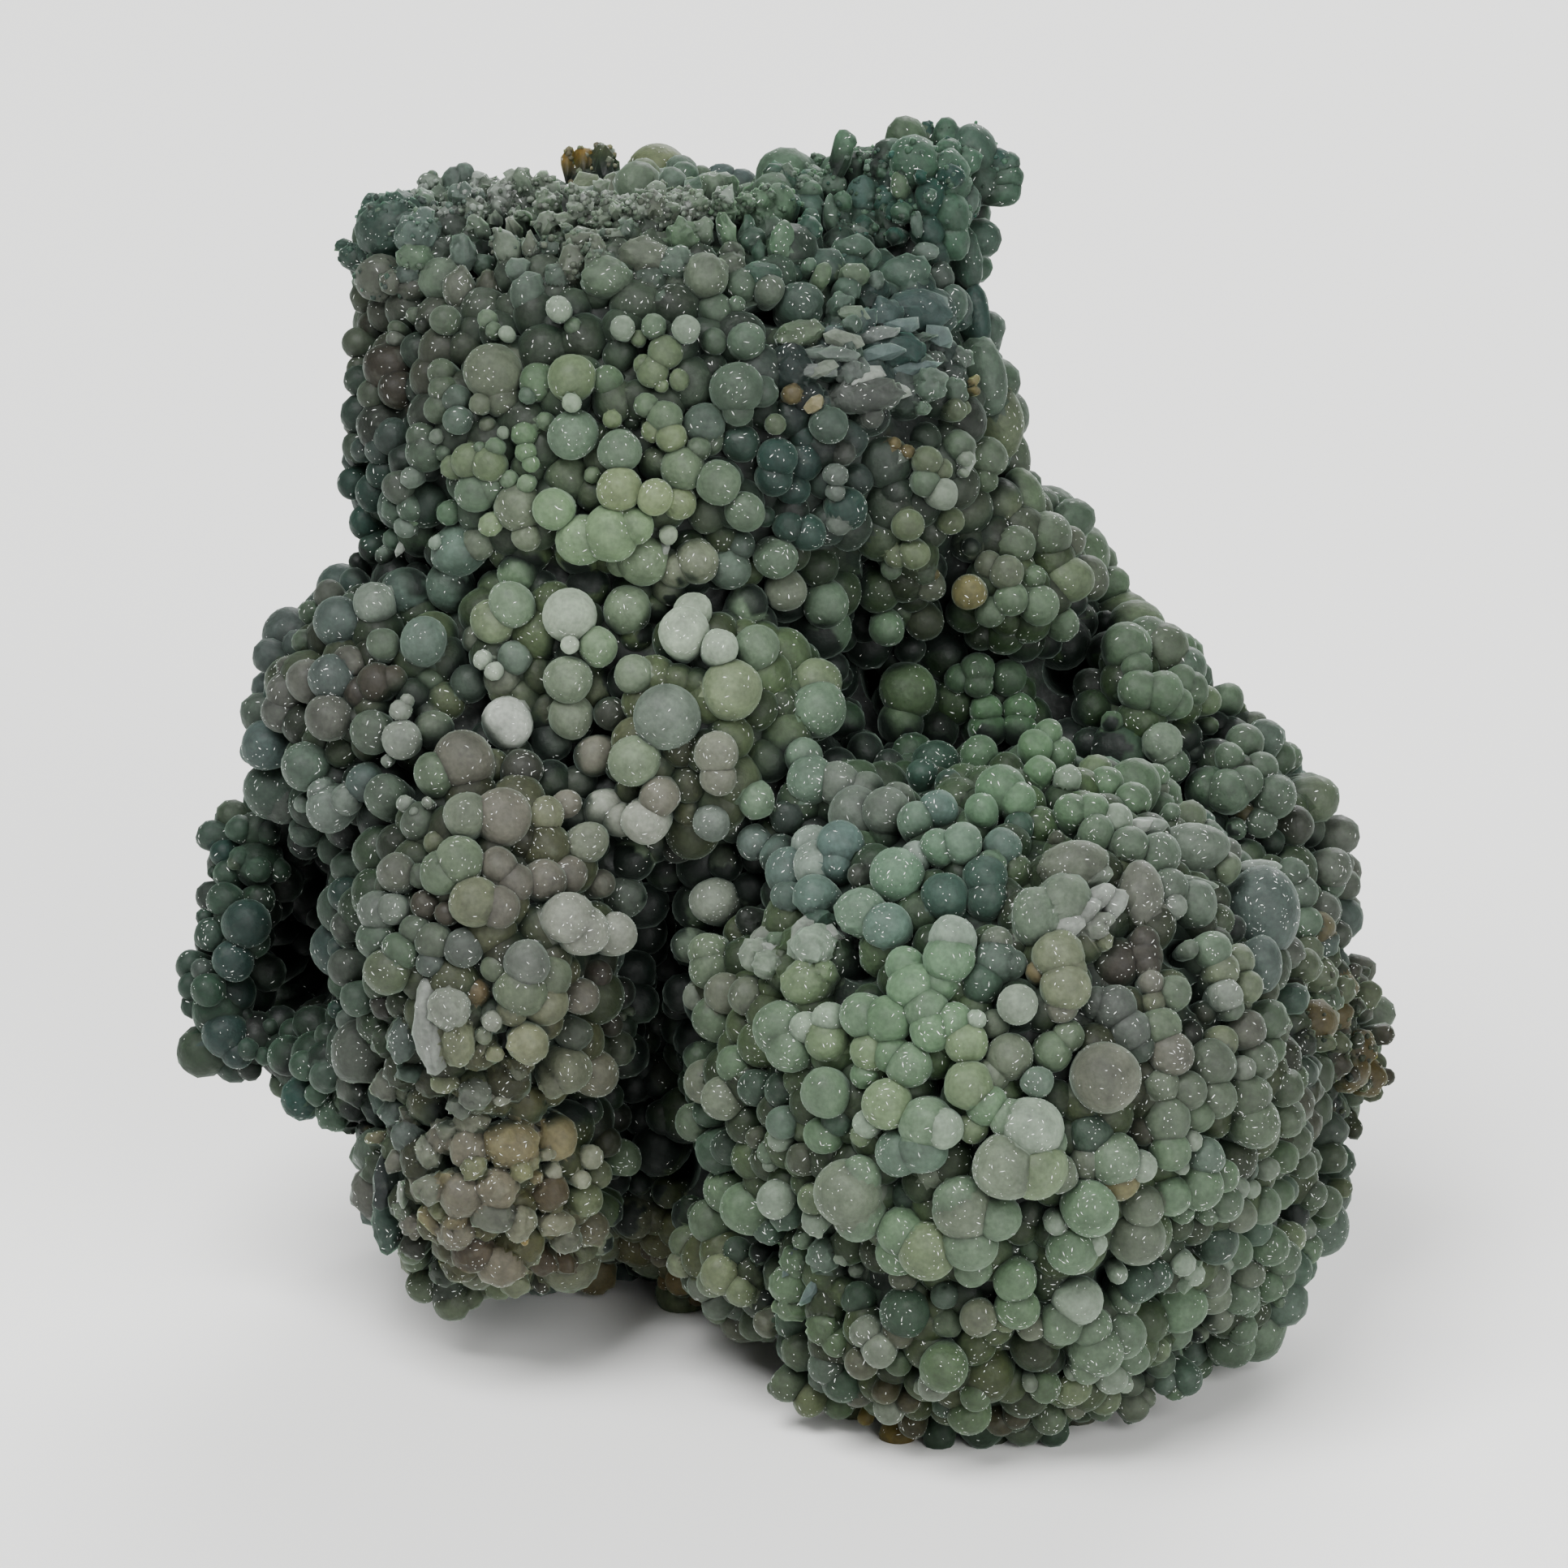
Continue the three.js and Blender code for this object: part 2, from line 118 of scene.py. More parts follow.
# The balls of the front: across, up, radius and lift off the mass, all in tenths, and tint.
LUMPS = [
    # the upper left knob and the brown hollow under it
    [-243, 354, 12, 9, "t"], [-226, 356, 11, 6, "s"], [-253, 356, 9, 4, "t"], [-242, 309, 8, 6, "m"],
    [-138, 291, 8, 12, "w"], [-208, 285, 9.5, 7, "s"], [-239, 281, 5.5, 5, "s"], [-228, 289, 5.5, 5, "s"],
    [-222, 282, 5, 3, "d"], [-240, 274, 5, 4, "w"], [-182, 285, 6.5, 8, "s"], [-178, 278, 5.5, 8, "s"],
    [-170, 276, 5, 10, "w"], [-252, 283, 12, -6, "n"], [-263, 273, 10, 0, "s"], [-243, 256, 17, -4, "n"],
    [-262, 256, 9, 0, "s"], [-253, 240, 10, 0, "s"], [-238, 243, 12, -4, "n"], [-224, 266, 12, -6, "t"],
    [-225, 243, 10, -8, "t"],
    # under the rim
    [-82, 308, 10, -1, "b"], [-42, 318, 6, 6, "w"], [-62, 336, 11, 1, "g"], [-19, 334, 9, -4, "t"],
    [-32, 318, 10, -1, "m"], [-9, 303, 10, 1, "m"], [-26, 306, 11, -2, "s"], [6, 314, 6, -4, "t"],
    [15, 318, 5, 2, "s"], [-42, 289, 12, -2, "s"], [-29, 293, 6, 1, "s"], [-99, 279, 8, 10, "w"],
    [-80, 280, 8, 9, "s"], [-60, 278, 8.8, 12, "w"], [-129, 280, 6, 5, "s"], [-23, 270, 12, 5, "s"],
    [-43, 271, 9, 2, "s"], [-73, 264, 11, 6, "y"], [-89, 273, 5, 6, "y"], [-74, 298, 4, 4, "b"],
    # the horn at the upper right
    [75, 356, 10, -3, "t"], [54, 324, 7, 3, "s"], [39, 304, 9, 1, "s"], [35, 293, 9, 2, "s"],
    [50, 296, 7, -1, "d"], [46, 283, 10, 2, "b"],
    # the neck, left half
    [-210, 252, 9, 5, "s"], [-209, 242, 10, 6, "s"], [-211, 230, 10, 5, "s"], [-201, 236, 9, 7, "b"],
    [-200, 223, 9, 9, "b"], [-186, 233, 7, 9, "m"], [-178, 252, 19, 5, "m"], [-173, 237, 12, 2, "m"],
    [-157, 238, 6, 6, "b"], [-150, 246, 12, 2, "g"], [-130, 249, 15, 6, "y"], [-130, 233, 6, 12, "w"],
    [-182, 220, 5, 5, "m"], [-241, 213, 12, -4, "b"], [-260, 206, 8, 0, "b"], [-249, 206, 9, -2, "b"],
    [-247, 192, 11, -5, "t"], [-266, 186, 10.5, 0, "t"], [-252, 180, 13, -3, "t"], [-258, 162, 11, -2, "t"],
    [-254, 146, 10, -1, "t"], [-264, 138, 6, 0, "m"], [-223, 213, 9.5, 5, "s"], [-220, 204, 12, 4, "s"],
    [-213, 213, 5, 8, "w"], [-208, 203, 6, 5, "s"], [-193, 198, 11.5, 7, "y"], [-203, 194, 8, 7, "y"],
    [-181, 196, 11, 8, "y"], [-177, 206, 6.5, 8, "s"], [-186, 205, 5, 8, "s"], [-172, 215, 4, 7, "w"],
    [-159, 214, 8.5, 5, "g"], [-158, 203, 7, 6, "g"], [-155, 196, 5.5, 7, "g"], [-146, 222, 6, 4, "s"],
    [-129, 214, 16, 5, "b"], [-236, 182, 11, 6, "m"], [-229, 188, 7, 11, "w"], [-239, 169, 9, 5, "s"],
    [-229, 170, 9, 5, "s"], [-233, 158, 7, 9, "w"], [-241, 151, 7, 8, "s"], [-247, 141, 6, 9, "w"],
    [-189, 179, 13, 6, "s"], [-181, 182, 10, 5, "s"], [-180, 159, 7.5, 9, "y"], [-206, 166, 8, 2, "g"],
    [-169, 186, 6, 6, "s"], [-158, 184, 6, 7, "s"], [-162, 170, 15, 4, "m"], [-158, 152, 9.5, 6, "m"],
    [-141, 168, 13.5, 10, "g"], [-214, 148, 4.5, 13, "w"], [-200, 143, 17, 3, "b"], [-206, 122, 16, 3, "b"],
    [-187, 148, 11, 2, "m"], [-162, 129, 14, 1, "g"], [-167, 110, 14.5, 9, "s"], [-252, 111, 13.5, 10, "w"],
    [-267, 112, 6, 8, "s"], [-281, 116, 10, 2, "m"], [-292, 106, 8, 0, "g"], [-280, 120, 6, 0, "g"],
    [-232, 118, 16, 3, "b"], [-226, 129, 9, 2, "m"],
    # the neck, right half
    [-108, 246, 10, 1, "g"], [-80, 252, 10, 5, "y"], [-86, 256, 7, 4, "y"], [-64, 247, 7, 6, "y"],
    [-75, 244, 5, 6, "y"], [-100, 248, 6, -6, "d"], [-93, 223, 7, -4, "d"], [-84, 232, 8, 4, "s"],
    [-73, 224, 11, 5, "s"], [-69, 212, 10, 6, "y"], [-80, 216, 8, 4, "y"], [-105, 223, 6, 4, "y"],
    [-101, 204, 13.5, 6, "b"], [-117, 189, 5.5, 4, "s"], [-101, 180, 14, 10, "y"], [-79, 175, 12, 11, "y"],
    [-62, 193, 14, 5, "s"], [-64, 172, 11, 6, "y"], [-106, 153, 17.5, 11, "g"], [-124, 149, 15.5, 10, "g"],
    [-92, 158, 12, 10, "g"], [-40, 184, 14, 10, "s"], [-24, 166, 12.5, 10, "s"], [-52, 205, 8, 5, "s"],
    [-49, 220, 13, 1, "b"], [-46, 210, 10, 0, "s"], [-29, 242, 17.5, 6, "s"], [-28, 228, 10, 5, "s"],
    [-13, 240, 10, 4, "s"], [-5, 220, 7, 7, "y"], [5, 239, 7, 4, "a"], [28, 220, 12, 7, "s"],
    [-27, 208, 12, 0, "t"], [-4, 200, 12, 4, "t"], [-6, 188, 12, 2, "t"], [12, 198, 12, -2, "t"],
    [12, 213, 10, -3, "t"], [6, 180, 10, -1, "t"], [32, 189, 7.5, 7, "w"], [32, 179, 6, 7, "w"],
    [34, 160, 8, 6, "w"], [38, 169, 13, 3, "t"], [36, 203, 8, 2, "m"], [14, 154, 12, 2, "t"],
    [3, 158, 10, 2, "t"], [-12, 164, 7, -2, "t"], [-5, 138, 13, 6, "s"], [1, 118, 13, 5, "m"],
    [26, 110, 14, 7, "s"], [-33, 132, 13, 2, "b"], [-26, 146, 9, 0, "b"], [-54, 136, 14, 4, "m"],
    [-66, 132, 12, 4, "m"], [-86, 137, 16, 5, "s"], [-100, 135, 9, 4, "s"], [-71, 152, 6, 9, "w"],
    [-70, 120, 11, 3, "m"], [-23, 109, 14, 3, "s"],
    # the broken sheet and the slope right of the neck
    [90, 245, 11.5, 10, "s"], [86, 231, 5.2, 10, "s"], [105, 242, 9, 6, "s"], [105, 230, 7.5, 7, "y"],
    [111, 231, 4.5, 8, "y"], [118, 248, 3.5, 9, "a"], [118, 242, 3.5, 9, "a"], [42, 252, 10, 4, "w"],
    [54, 226, 8, 4, "m"], [68, 209, 4, 4, "a"], [76, 204, 4.5, 6, "a"], [70, 199, 5, 4, "w"],
    [88, 198, 9.5, 10, "y"], [96, 193, 8, 10, "y"], [87, 185, 9.5, 11, "s"], [97, 178, 10, 14, "w"],
    [112, 200, 5.5, 11, "w"], [111, 191, 3, 11, "w"], [108, 208, 10, 5, "s"], [69, 180, 10, 1, "d"],
    [76, 159, 10.7, 9, "y"], [80, 141, 10, 9, "y"], [69, 140, 8, 6, "y"], [66, 132, 7, 4, "s"],
    [102, 162, 9, 5, "y"], [114, 118, 11, 10, "a"], [92, 129, 4, 6, "a"], [90, 122, 10, 3, "m"],
    [87, 130, 8, 3, "s"], [115, 146, 6, 7, "m"], [45, 145, 10, -20, "d"], [50, 132, 10, -20, "d"],
    [123, 188, 9, 2, "g"], [137, 130, 11, 5, "m"], [126, 135, 9, 3, "m"], [154, 128, 8, 2, "g"],
    [140, 114, 11, 6, "s"], [158, 110, 13, 7, "s"], [172, 99, 11, 7, "s"], [127, 106, 10, 5, "s"],
    # the left shoulder
    [-273, 100, 16, 5, "b"], [-246, 86, 10.5, 7, "s"], [-221, 88, 15.5, 10, "b"], [-307, 72, 6.8, 5, "m"],
    [-296, 88, 8, 0, "g"], [-278, 65, 15, 5, "b"], [-292, 63, 14, 3, "m"], [-307, 56, 13, 2, "m"],
    [-310, 44, 13, 2, "m"], [-280, 41, 14.5, 6, "m"], [-267, 74, 11, 1, "m"], [-250, 62, 13, 1, "n"],
    [-240, 64, 10, 1, "n"], [-262, 56, 10, 0, "n"], [-252, 32, 14, 6, "s"], [-234, 27, 12, 13, "w"],
    [-235, 45, 7, 13, "w"], [-231, 51, 4.5, 13, "w"], [-243, 14, 4.2, 13, "w"], [-319, 24, 16, 5, "b"],
    [-328, 20, 9, 6, "b"], [-294, 10, 15.5, 6, "s"], [-316, -4, 18, 4, "s"], [-310, -10, 15, 5, "m"],
    [-326, -10, 11, 2, "s"], [-279, -15, 15, 14, "w"], [-269, -10, 10, 13, "w"], [-284, -6, 9, 12, "w"],
    [-296, -12, 6, 12, "w"], [-257, 0, 12, 8, "b"], [-243, -8, 15, 6, "s"], [-232, -12, 5.5, 12, "w"],
    [-226, -17, 3, 12, "w"], [-218, -11, 3.5, 12, "w"], [-213, 6, 13.5, 10, "g"], [-196, 13, 19, 7, "m"],
    [-215, 33, 13, 5, "s"], [-194, -19, 13.8, 10, "s"], [-193, 62, 12, 3, "b"], [-189, 89, 9, 0, "m"],
    [-218, 64, 9, -2, "g"], [-200, 45, 8, -8, "d"], [-338, -28, 9, 0, "g"], [-320, -30, 8, 0, "g"],
    [-296, -35, 12, -8, "d"], [-348, -43, 9, 0, "t"], [-338, -46, 7, 2, "g"], [-223, -23, 12, 3, "s"],
    [-213, -36, 8, 3, "y"], [-178, 100, 14, 6, "y"],
    # the middle of the front
    [-131, 104, 16.5, 10, "w"], [-131, 85, 6, 14, "w"], [-114, 84, 12.5, 8, "g"], [-132, 64, 15, 9, "s"],
    [-131, 41, 14, 7, "s"], [-170, 37, 16, 12, "x"], [-178, 69, 6, 12, "w"], [-185, 76, 6, 12, "w"],
    [-165, 78, 11, 3, "b"], [-173, 65, 12, 2, "m"], [-172, 58, 10, 1, "y"], [-96, 107, 15, 3, "s"],
    [-92, 67, 12.5, 6, "s"], [-61, 93, 16, 13, "w"], [-56, 106, 12, 9, "w"], [-39, 83, 11.5, 14, "w"],
    [-72, 41, 19.5, 6, "b"], [-32, 58, 19, 5, "y"], [-17, 83, 15, 4, "s"], [-92, 14, 15, 10, "g"],
    [-41, 19, 13.5, 8, "m"], [-40, 4, 11.5, 8, "m"], [-106, 43, 11, 0, "d"], [-143, 26, 13, 3, "b"],
    [-160, 9, 13, 0, "d"], [-116, 17, 13, 3, "m"], [-126, 0, 13, 2, "m"], [-133, -12, 9, 2, "m"],
    [-111, -16, 13, 12, "w"], [-101, -22, 11, 12, "w"], [-85, -23, 14.5, 13, "w"], [-76, -8, 12.5, 8, "m"],
    [-120, -36, 13.5, 8, "s"], [-173, -19, 18, 6, "m"], [-44, -24, 11.5, 8, "b"], [-17, -10, 12, 7, "g"],
    [-64, -38, 11, -6, "d"], [-146, -19, 12, 1, "y"],
    # the valley between the middle and the right slope
    [23, 96, 19, 6, "s"], [35, 93, 11, 5, "g"], [21, 46, 17.5, 9, "s"], [19, 62, 16, 5, "y"],
    [35, 66, 8, 0, "d"], [64, 95, 11, 8, "s"], [78, 83, 9.5, 8, "m"], [86, 100, 12, 3, "n"],
    [77, 58, 17.5, 10, "y"], [72, 37, 14.5, 10, "y"], [120, 71, 11, 9, "s"], [120, 63, 10, 9, "s"],
    [109, 65, 9, 6, "s"], [139, 66, 11.5, 7, "s"], [125, 46, 10, 8, "g"], [126, 34, 12, 8, "g"],
    [146, 46, 11, 9, "g"], [145, 34, 12, 10, "g"], [154, 23, 11, 10, "g"], [156, 8, 10, 9, "g"],
    [120, 19, 12, 4, "g"], [132, -4, 15, 7, "g"], [120, -16, 11, 8, "g"], [142, -10, 12, 6, "g"],
    [94, 34, 15, -3, "d"], [93, 14, 14, -3, "t"], [85, 6, 10, -3, "t"], [101, 0, 9, -1, "t"],
    [50, 20, 12, -12, "d"], [65, 12, 10, -10, "d"], [162, 31, 9, 5, "g"], [168, 18, 12, 4, "g"],
    [173, 3, 9, 8, "w"], [189, 21, 9, -15, "d"], [191, 60, 12, -6, "d"], [197, 0, 11, 1, "g"],
    # the top of the right dome
    [12, 17, 11.5, 10, "s"], [17, 3, 15, 10, "s"], [33, 1, 14, 10, "m"], [49, -4, 12, 10, "m"],
    [44, -18, 18, 9, "m"], [62, -16, 15, 9, "m"], [70, -8, 10, 8, "m"], [94, -15, 12, 9, "b"],
    [80, -22, 12, 9, "s"], [108, -36, 12.5, 12, "s"], [94, -38, 11, 11, "g"], [3, -20, 11.5, 1, "d"],
    [18, -38, 13, 8, "w"], [34, -37, 15, 9, "b"], [-3, -44, 13, 8, "b"], [-18, -36, 11, 7, "b"],
    [132, -39, 12, 4, "b"], [143, -26, 10, -2, "t"], [79, -43, 9, 9, "w"], [175, -17, 11, 5, "g"],
    [187, -17, 12, 7, "g"], [202, -22, 10, 8, "w"], [190, -29, 11, 5, "s"], [237, -17, 6, 3, "s"],
    [166, -34, 6, 1, "n"],
    # the right slope
    [212, 85, 16, 8, "s"], [226, 91, 14, 4, "s"], [236, 84, 16, 2, "m"], [250, 73, 13, 1, "b"],
    [200, 101, 7, 3, "s"], [219, 58, 13, 6, "s"], [234, 56, 14, 6, "s"], [243, 50, 10, 6, "s"],
    [253, 59, 11, 4, "s"], [262, 52, 10, 3, "y"], [276, 52, 11, 3, "s"], [281, 46, 8, 2, "y"],
    [203, 38, 7.5, 3, "s"], [234, 25, 13, 7, "w"], [240, 12, 11, 9, "s"], [264, 36, 6, 2, "y"],
    [280, 38, 12, 1, "b"], [299, 29, 12.5, 1, "b"], [292, 36, 10, 1, "m"], [276, 16, 10, 6, "s"],
    [286, 26, 12, 1, "s"], [296, 10, 11, 1, "s"], [254, 20, 7, 0, "g"], [252, 5, 9, 1, "n"],
    [228, 4, 9, 2, "g"], [231, -3, 6, 3, "m"], [213, -10, 11, 2, "g"], [262, -3, 15, 4, "g"],
    [274, -4, 14, 5, "s"], [286, 1, 11, 4, "s"], [304, -8, 15, 2, "s"], [296, -24, 10, 1, "s"],
    [286, -18, 7, -3, "a"], [316, -26, 13, 1, "n"], [326, -29, 11, 1, "m"], [280, -28, 7, 2, "s"],
    [302, -36, 9, -1, "g"], [218, 72, 10, 5, "s"], [246, 64, 10, 4, "s"],
    # the loop at the far left and the dark hollow in it
    [-326, -53, 8.5, 4, "g"], [-313, -54, 7.5, 3, "g"], [-341, -49, 5, 5, "y"], [-346, -56, 9, 2, "g"],
    [-355, -55, 4, 0, "s"], [-333, -87, 15.5, 6, "b"], [-326, -72, 10, 4, "g"], [-347, -72, 11.5, 1, "g"],
    [-360, -83, 6, 0, "s"], [-330, -98, 11, 3, "g"], [-356, -94, 11, 1, "s"], [-342, -110, 13, 6, "b"],
    [-369, -113, 10, 2, "s"], [-362, -115, 7, 4, "w"], [-369, -126, 9, 3, "s"], [-358, -128, 10, 4, "g"],
    [-367, -138, 8.5, 1, "s"], [-340, -129, 12, -4, "t"], [-320, -133, 11, -6, "t"],
    [-335, -144, 6, 3, "g"], [-319, -151, 5.5, 7, "w"], [-348, -156, 15, 2, "b"], [-333, -165, 7.5, 5, "s"],
    [-340, -167, 10, 2, "b"], [-332, -177, 8, 1, "n"], [-323, -169, 6, 3, "g"], [-308, -168, 13, 3, "g"],
    [-305, -155, 9, 2, "g"], [-296, -174, 10, 2, "g"], [-292, -84, 7, 5, "s"], [-301, -97, 11, -8, "d"],
    [-270, -68, 11, -4, "t"], [-269, -87, 10, 1, "m"], [-274, -101, 8, 0, "b"], [-269, -113, 12, 2, "m"],
    [-273, -123, 9, 1, "g"], [-262, -132, 11, 2, "s"], [-276, -139, 6, -2, "t"], [-282, -156, 9, 0, "g"],
    # the left lobe
    [-237, -54, 12.5, 9, "m"], [-248, -78, 12.5, 9, "w"], [-239, -76, 10, 8, "w"],
    [-248, -95, 13.5, 7, "s"], [-242, -114, 15, 9, "y"], [-234, -102, 12, 6, "g"], [-219, -74, 10, 1, "n"],
    [-225, -89, 10, 3, "s"], [-244, -136, 10, -8, "n"], [-209, -54, 14, 6, "g"], [-198, -46, 14, 8, "g"],
    [-222, -56, 8, 4, "s"], [-174, -50, 12, 3, "m"], [-164, -60, 12, 2, "m"], [-188, -72, 16, 5, "y"],
    [-174, -75, 13, 5, "m"], [-206, -79, 8, 2, "n"], [-146, -59, 14, 1, "m"], [-132, -56, 12, 1, "m"],
    [-132, -82, 16.5, 12, "w"], [-123, -89, 16.5, 12, "w"], [-103, -92, 13.5, 10, "w"],
    [-85, -92, 14, 5, "g"], [-97, -69, 12.5, 3, "b"], [-93, -46, 15, 8, "g"], [-112, -61, 9, 2, "m"],
    [-195, -100, 12.5, 1, "b"], [-214, -96, 11, 3, "s"], [-216, -109, 9, 3, "b"],
    [-156, -109, 14.5, 9, "b"], [-160, -125, 17, 4, "g"], [-143, -118, 14, 3, "g"],
    [-146, -133, 15, 3, "y"], [-176, -112, 9, 1, "g"], [-166, -139, 10, 3, "y"], [-124, -130, 11.5, 2, "m"],
    [-114, -116, 9, -4, "n"], [-101, -128, 10, -10, "d"], [-189, -127, 10, -3, "a"],
    [-205, -137, 13.5, 8, "w"], [-178, -146, 7, 7, "w"], [-183, -154, 6, 6, "s"], [-177, -164, 6.5, 6, "y"],
    [-156, -159, 14, 9, "y"], [-129, -153, 11.5, -1, "t"], [-132, -175, 15, 5, "s"],
    [-117, -177, 16, 5, "m"], [-141, -182, 11, 4, "s"], [-102, -162, 11, 1, "m"], [-87, -174, 10, 2, "m"],
    [-93, -186, 12, 1, "y"], [-163, -176, 5.5, 2, "s"], [-94, -140, 3, 4, "m"], [-99, -143, 2.5, 3, "m"],
    [-88, -137, 3, 4, "m"], [-104, -206, 10, 0, "n"], [-122, -200, 11, 2, "m"], [-106, -148, 8, -4, "n"],
    # the broken ground below the left lobe
    [-269, -146, 8, 5, "w"], [-283, -180, 11, 2, "s"], [-278, -204, 12, 1, "g"], [-270, -210, 8, 1, "g"],
    [-289, -192, 8, 0, "g"], [-259, -212, 5, 2, "a"], [-238, -202, 11, 1, "b"], [-264, -186, 13, 2, "m"],
    [-244, -186, 10, 1, "m"], [-235, -262, 7, 2, "s"], [-238, -232, 8, 1, "m"], [-228, -271, 9, 0, "m"],
    [-228, -284, 9, -4, "d"], [-232, -217, 11, 1, "b"], [-208, -216, 12, 3, "m"], [-193, -223, 14, 4, "m"],
    [-198, -197, 9, 4, "b"], [-161, -237, 8, 7, "y"], [-142, -237, 7, 2, "w"], [-118, -229, 8, 10, "w"],
    [-99, -231, 11.5, 10, "w"], [-124, -243, 6, 7, "w"], [-115, -240, 10, 3, "s"], [-123, -255, 12, 1, "g"],
    [-110, -220, 10, 0, "n"], [-144, -250, 12, 1, "n"], [-176, -248, 14, 4, "m"], [-159, -281, 4, 6, "a"],
    [-134, -279, 10, 3, "b"], [-119, -274, 12, 3, "m"], [-114, -283, 9, 5, "w"], [-106, -289, 6, 5, "w"],
    [-202, -275, 13, 3, "m"], [-211, -262, 8, 4, "y"], [-191, -287, 14, 2, "n"], [-166, -308, 10, 3, "s"],
    [-209, -300, 11, -10, "t"], [-208, -312, 12, -7, "t"], [-224, -311, 11, -8, "g"],
    [-205, -321, 12, -8, "g"], [-194, -317, 9, -8, "g"], [-150, -310, 7, -3, "d"],
    [-149, -294, 10, -4, "n"], [-136, -294, 9, -2, "n"],
    # the front of the right dome, upper left
    [-53, -74, 16, 11, "g"], [-43, -71, 14.5, 11, "w"], [-59, -99, 11, 8, "w"], [-46, -103, 13, 10, "g"],
    [-44, -113, 14, 8, "g"], [-20, -65, 12, -2, "m"], [-36, -49, 11, 1, "m"], [-16, -104, 12, 8, "w"],
    [-10, -110, 10, 8, "w"], [-6, -96, 8, 4, "s"], [18, -98, 14, 10, "w"], [9, -100, 8, 8, "w"],
    [13, -120, 15, 6, "y"], [23, -113, 9, 5, "y"], [4, -54, 16, 7, "b"], [20, -50, 15, 6, "w"],
    [19, -68, 14, 5, "b"], [2, -69, 11, 5, "b"], [32, -49, 10, 5, "b"], [46, -78, 16.5, 10, "s"],
    [62, -86, 15, 8, "b"], [68, -54, 16.5, 10, "g"], [98, -68, 14.5, 2, "t"], [101, -94, 14.5, 11, "w"],
    [100, -105, 16, 10, "g"], [73, -110, 12, 8, "g"], [78, -123, 16, 8, "g"], [93, -120, 13, 6, "g"],
    [-36, -128, 14, 4, "m"], [-53, -130, 9, 6, "w"], [-42, -144, 15, 3, "g"], [-22, -129, 12, 4, "m"],
    [-66, -136, 9, 1, "g"], [-66, -152, 10, 2, "g"], [-2, -149, 17.5, 9, "s"], [3, -159, 16, 8, "s"],
    [13, -148, 10, 10, "w"], [27, -142, 10, 9, "w"], [26, -155, 14, 6, "y"], [48, -140, 15, 8, "s"],
    [63, -143, 15, 8, "g"], [86, -136, 14, 8, "s"], [89, -148, 14, 8, "g"], [52, -162, 13, 6, "y"],
    [65, -163, 12, 6, "g"], [76, -170, 14, 6, "s"], [49, -176, 9, 5, "g"], [-52, -168, 10, 5, "s"],
    [-30, -171, 12, 2, "g"], [-48, -182, 14, 8, "m"], [-37, -192, 14, 8, "m"], [-17, -185, 12, -3, "t"],
    [0, -186, 12, -5, "t"], [25, -187, 15, 10, "s"], [21, -84, 10, 0, "t"], [-20, -84, 10, -6, "d"],
    [46, -56, 8, 1, "n"],
    # the front of the right dome, upper right
    [122, -57, 14, 3, "t"], [126, -49, 10, 4, "g"], [123, -69, 13, 0, "t"], [124, -85, 7, -10, "n"],
    [129, -96, 10, 3, "m"], [128, -108, 14, 2, "b"], [137, -109, 10, 2, "b"], [120, -121, 13, 3, "t"],
    [170, -72, 18, 8, "s"], [190, -88, 8, 8, "w"], [210, -38, 12, 6, "s"], [228, -43, 14, 6, "s"],
    [166, -104, 16, 8, "y"], [170, -123, 15, 8, "y"], [173, -112, 11, 8, "y"], [168, -134, 11, 5, "m"],
    [154, -114, 8, 3, "a"], [141, -133, 12, 12, "w"], [116, -142, 6.5, 10, "w"], [202, -109, 16, -6, "n"],
    [218, -96, 10, 1, "n"], [194, -95, 6, 6, "y"], [220, -110, 9, 1, "n"], [223, -120, 8, 5, "m"],
    [236, -127, 11, 5, "g"], [224, -132, 8, 3, "y"], [200, -136, 14, 1, "b"], [210, -149, 13, 3, "b"],
    [189, -132, 10, 0, "b"], [228, -147, 13, 4, "g"], [234, -163, 14, 5, "m"], [215, -159, 10, 2, "t"],
    [195, -178, 21, 10, "m"], [153, -180, 10, 9, "b"], [136, -165, 14, 4, "m"], [162, -162, 12, 1, "g"],
    [172, -152, 10, 2, "g"], [150, -150, 8, -8, "n"], [112, -182, 15, 9, "y"], [110, -156, 14, 7, "y"],
    [103, -145, 13, 7, "g"], [122, -194, 13, 8, "g"], [127, -145, 10, 2, "m"], [126, -176, 11, 4, "m"],
    [308, -103, 12, 5, "m"], [270, -51, 10, 8, "y"], [234, -64, 13, 4, "s"], [237, -74, 8, 6, "w"],
    [274, -88, 9, -8, "d"], [260, -101, 12, 7, "g"], [246, -100, 6, 5, "s"], [266, -113, 11, 6, "y"],
    [277, -107, 10, 6, "y"], [281, -124, 11, 6, "y"], [269, -128, 10, 8, "w"], [272, -136, 8, 6, "s"],
    [295, -144, 13, 3, "g"], [281, -150, 13, 4, "m"], [298, -162, 9, 4, "g"], [288, -168, 13, 5, "s"],
    [279, -173, 8, 8, "w"], [260, -170, 15, 4, "s"], [266, -157, 10, 3, "y"], [256, -139, 8, -6, "n"],
    [306, -185, 12, 7, "s"], [313, -180, 9, 4, "g"], [282, -190, 15, 6, "s"], [262, -191, 13, 5, "s"],
    [244, -186, 12, 5, "s"], [229, -183, 11, 4, "s"], [246, -152, 9, -5, "d"], [218, -104, 12, -1, "n"],
    # the right rear, stained with ochre
    [340, -52, 13.5, 3, "m"], [340, -62, 9, 1, "g"], [314, -56, 11, 3, "s"], [320, -68, 11, 2, "s"],
    [334, -78, 11.5, 1, "m"], [332, -90, 11, 1, "a"], [335, -98, 10, 1, "b"], [325, -103, 10, 0, "y"],
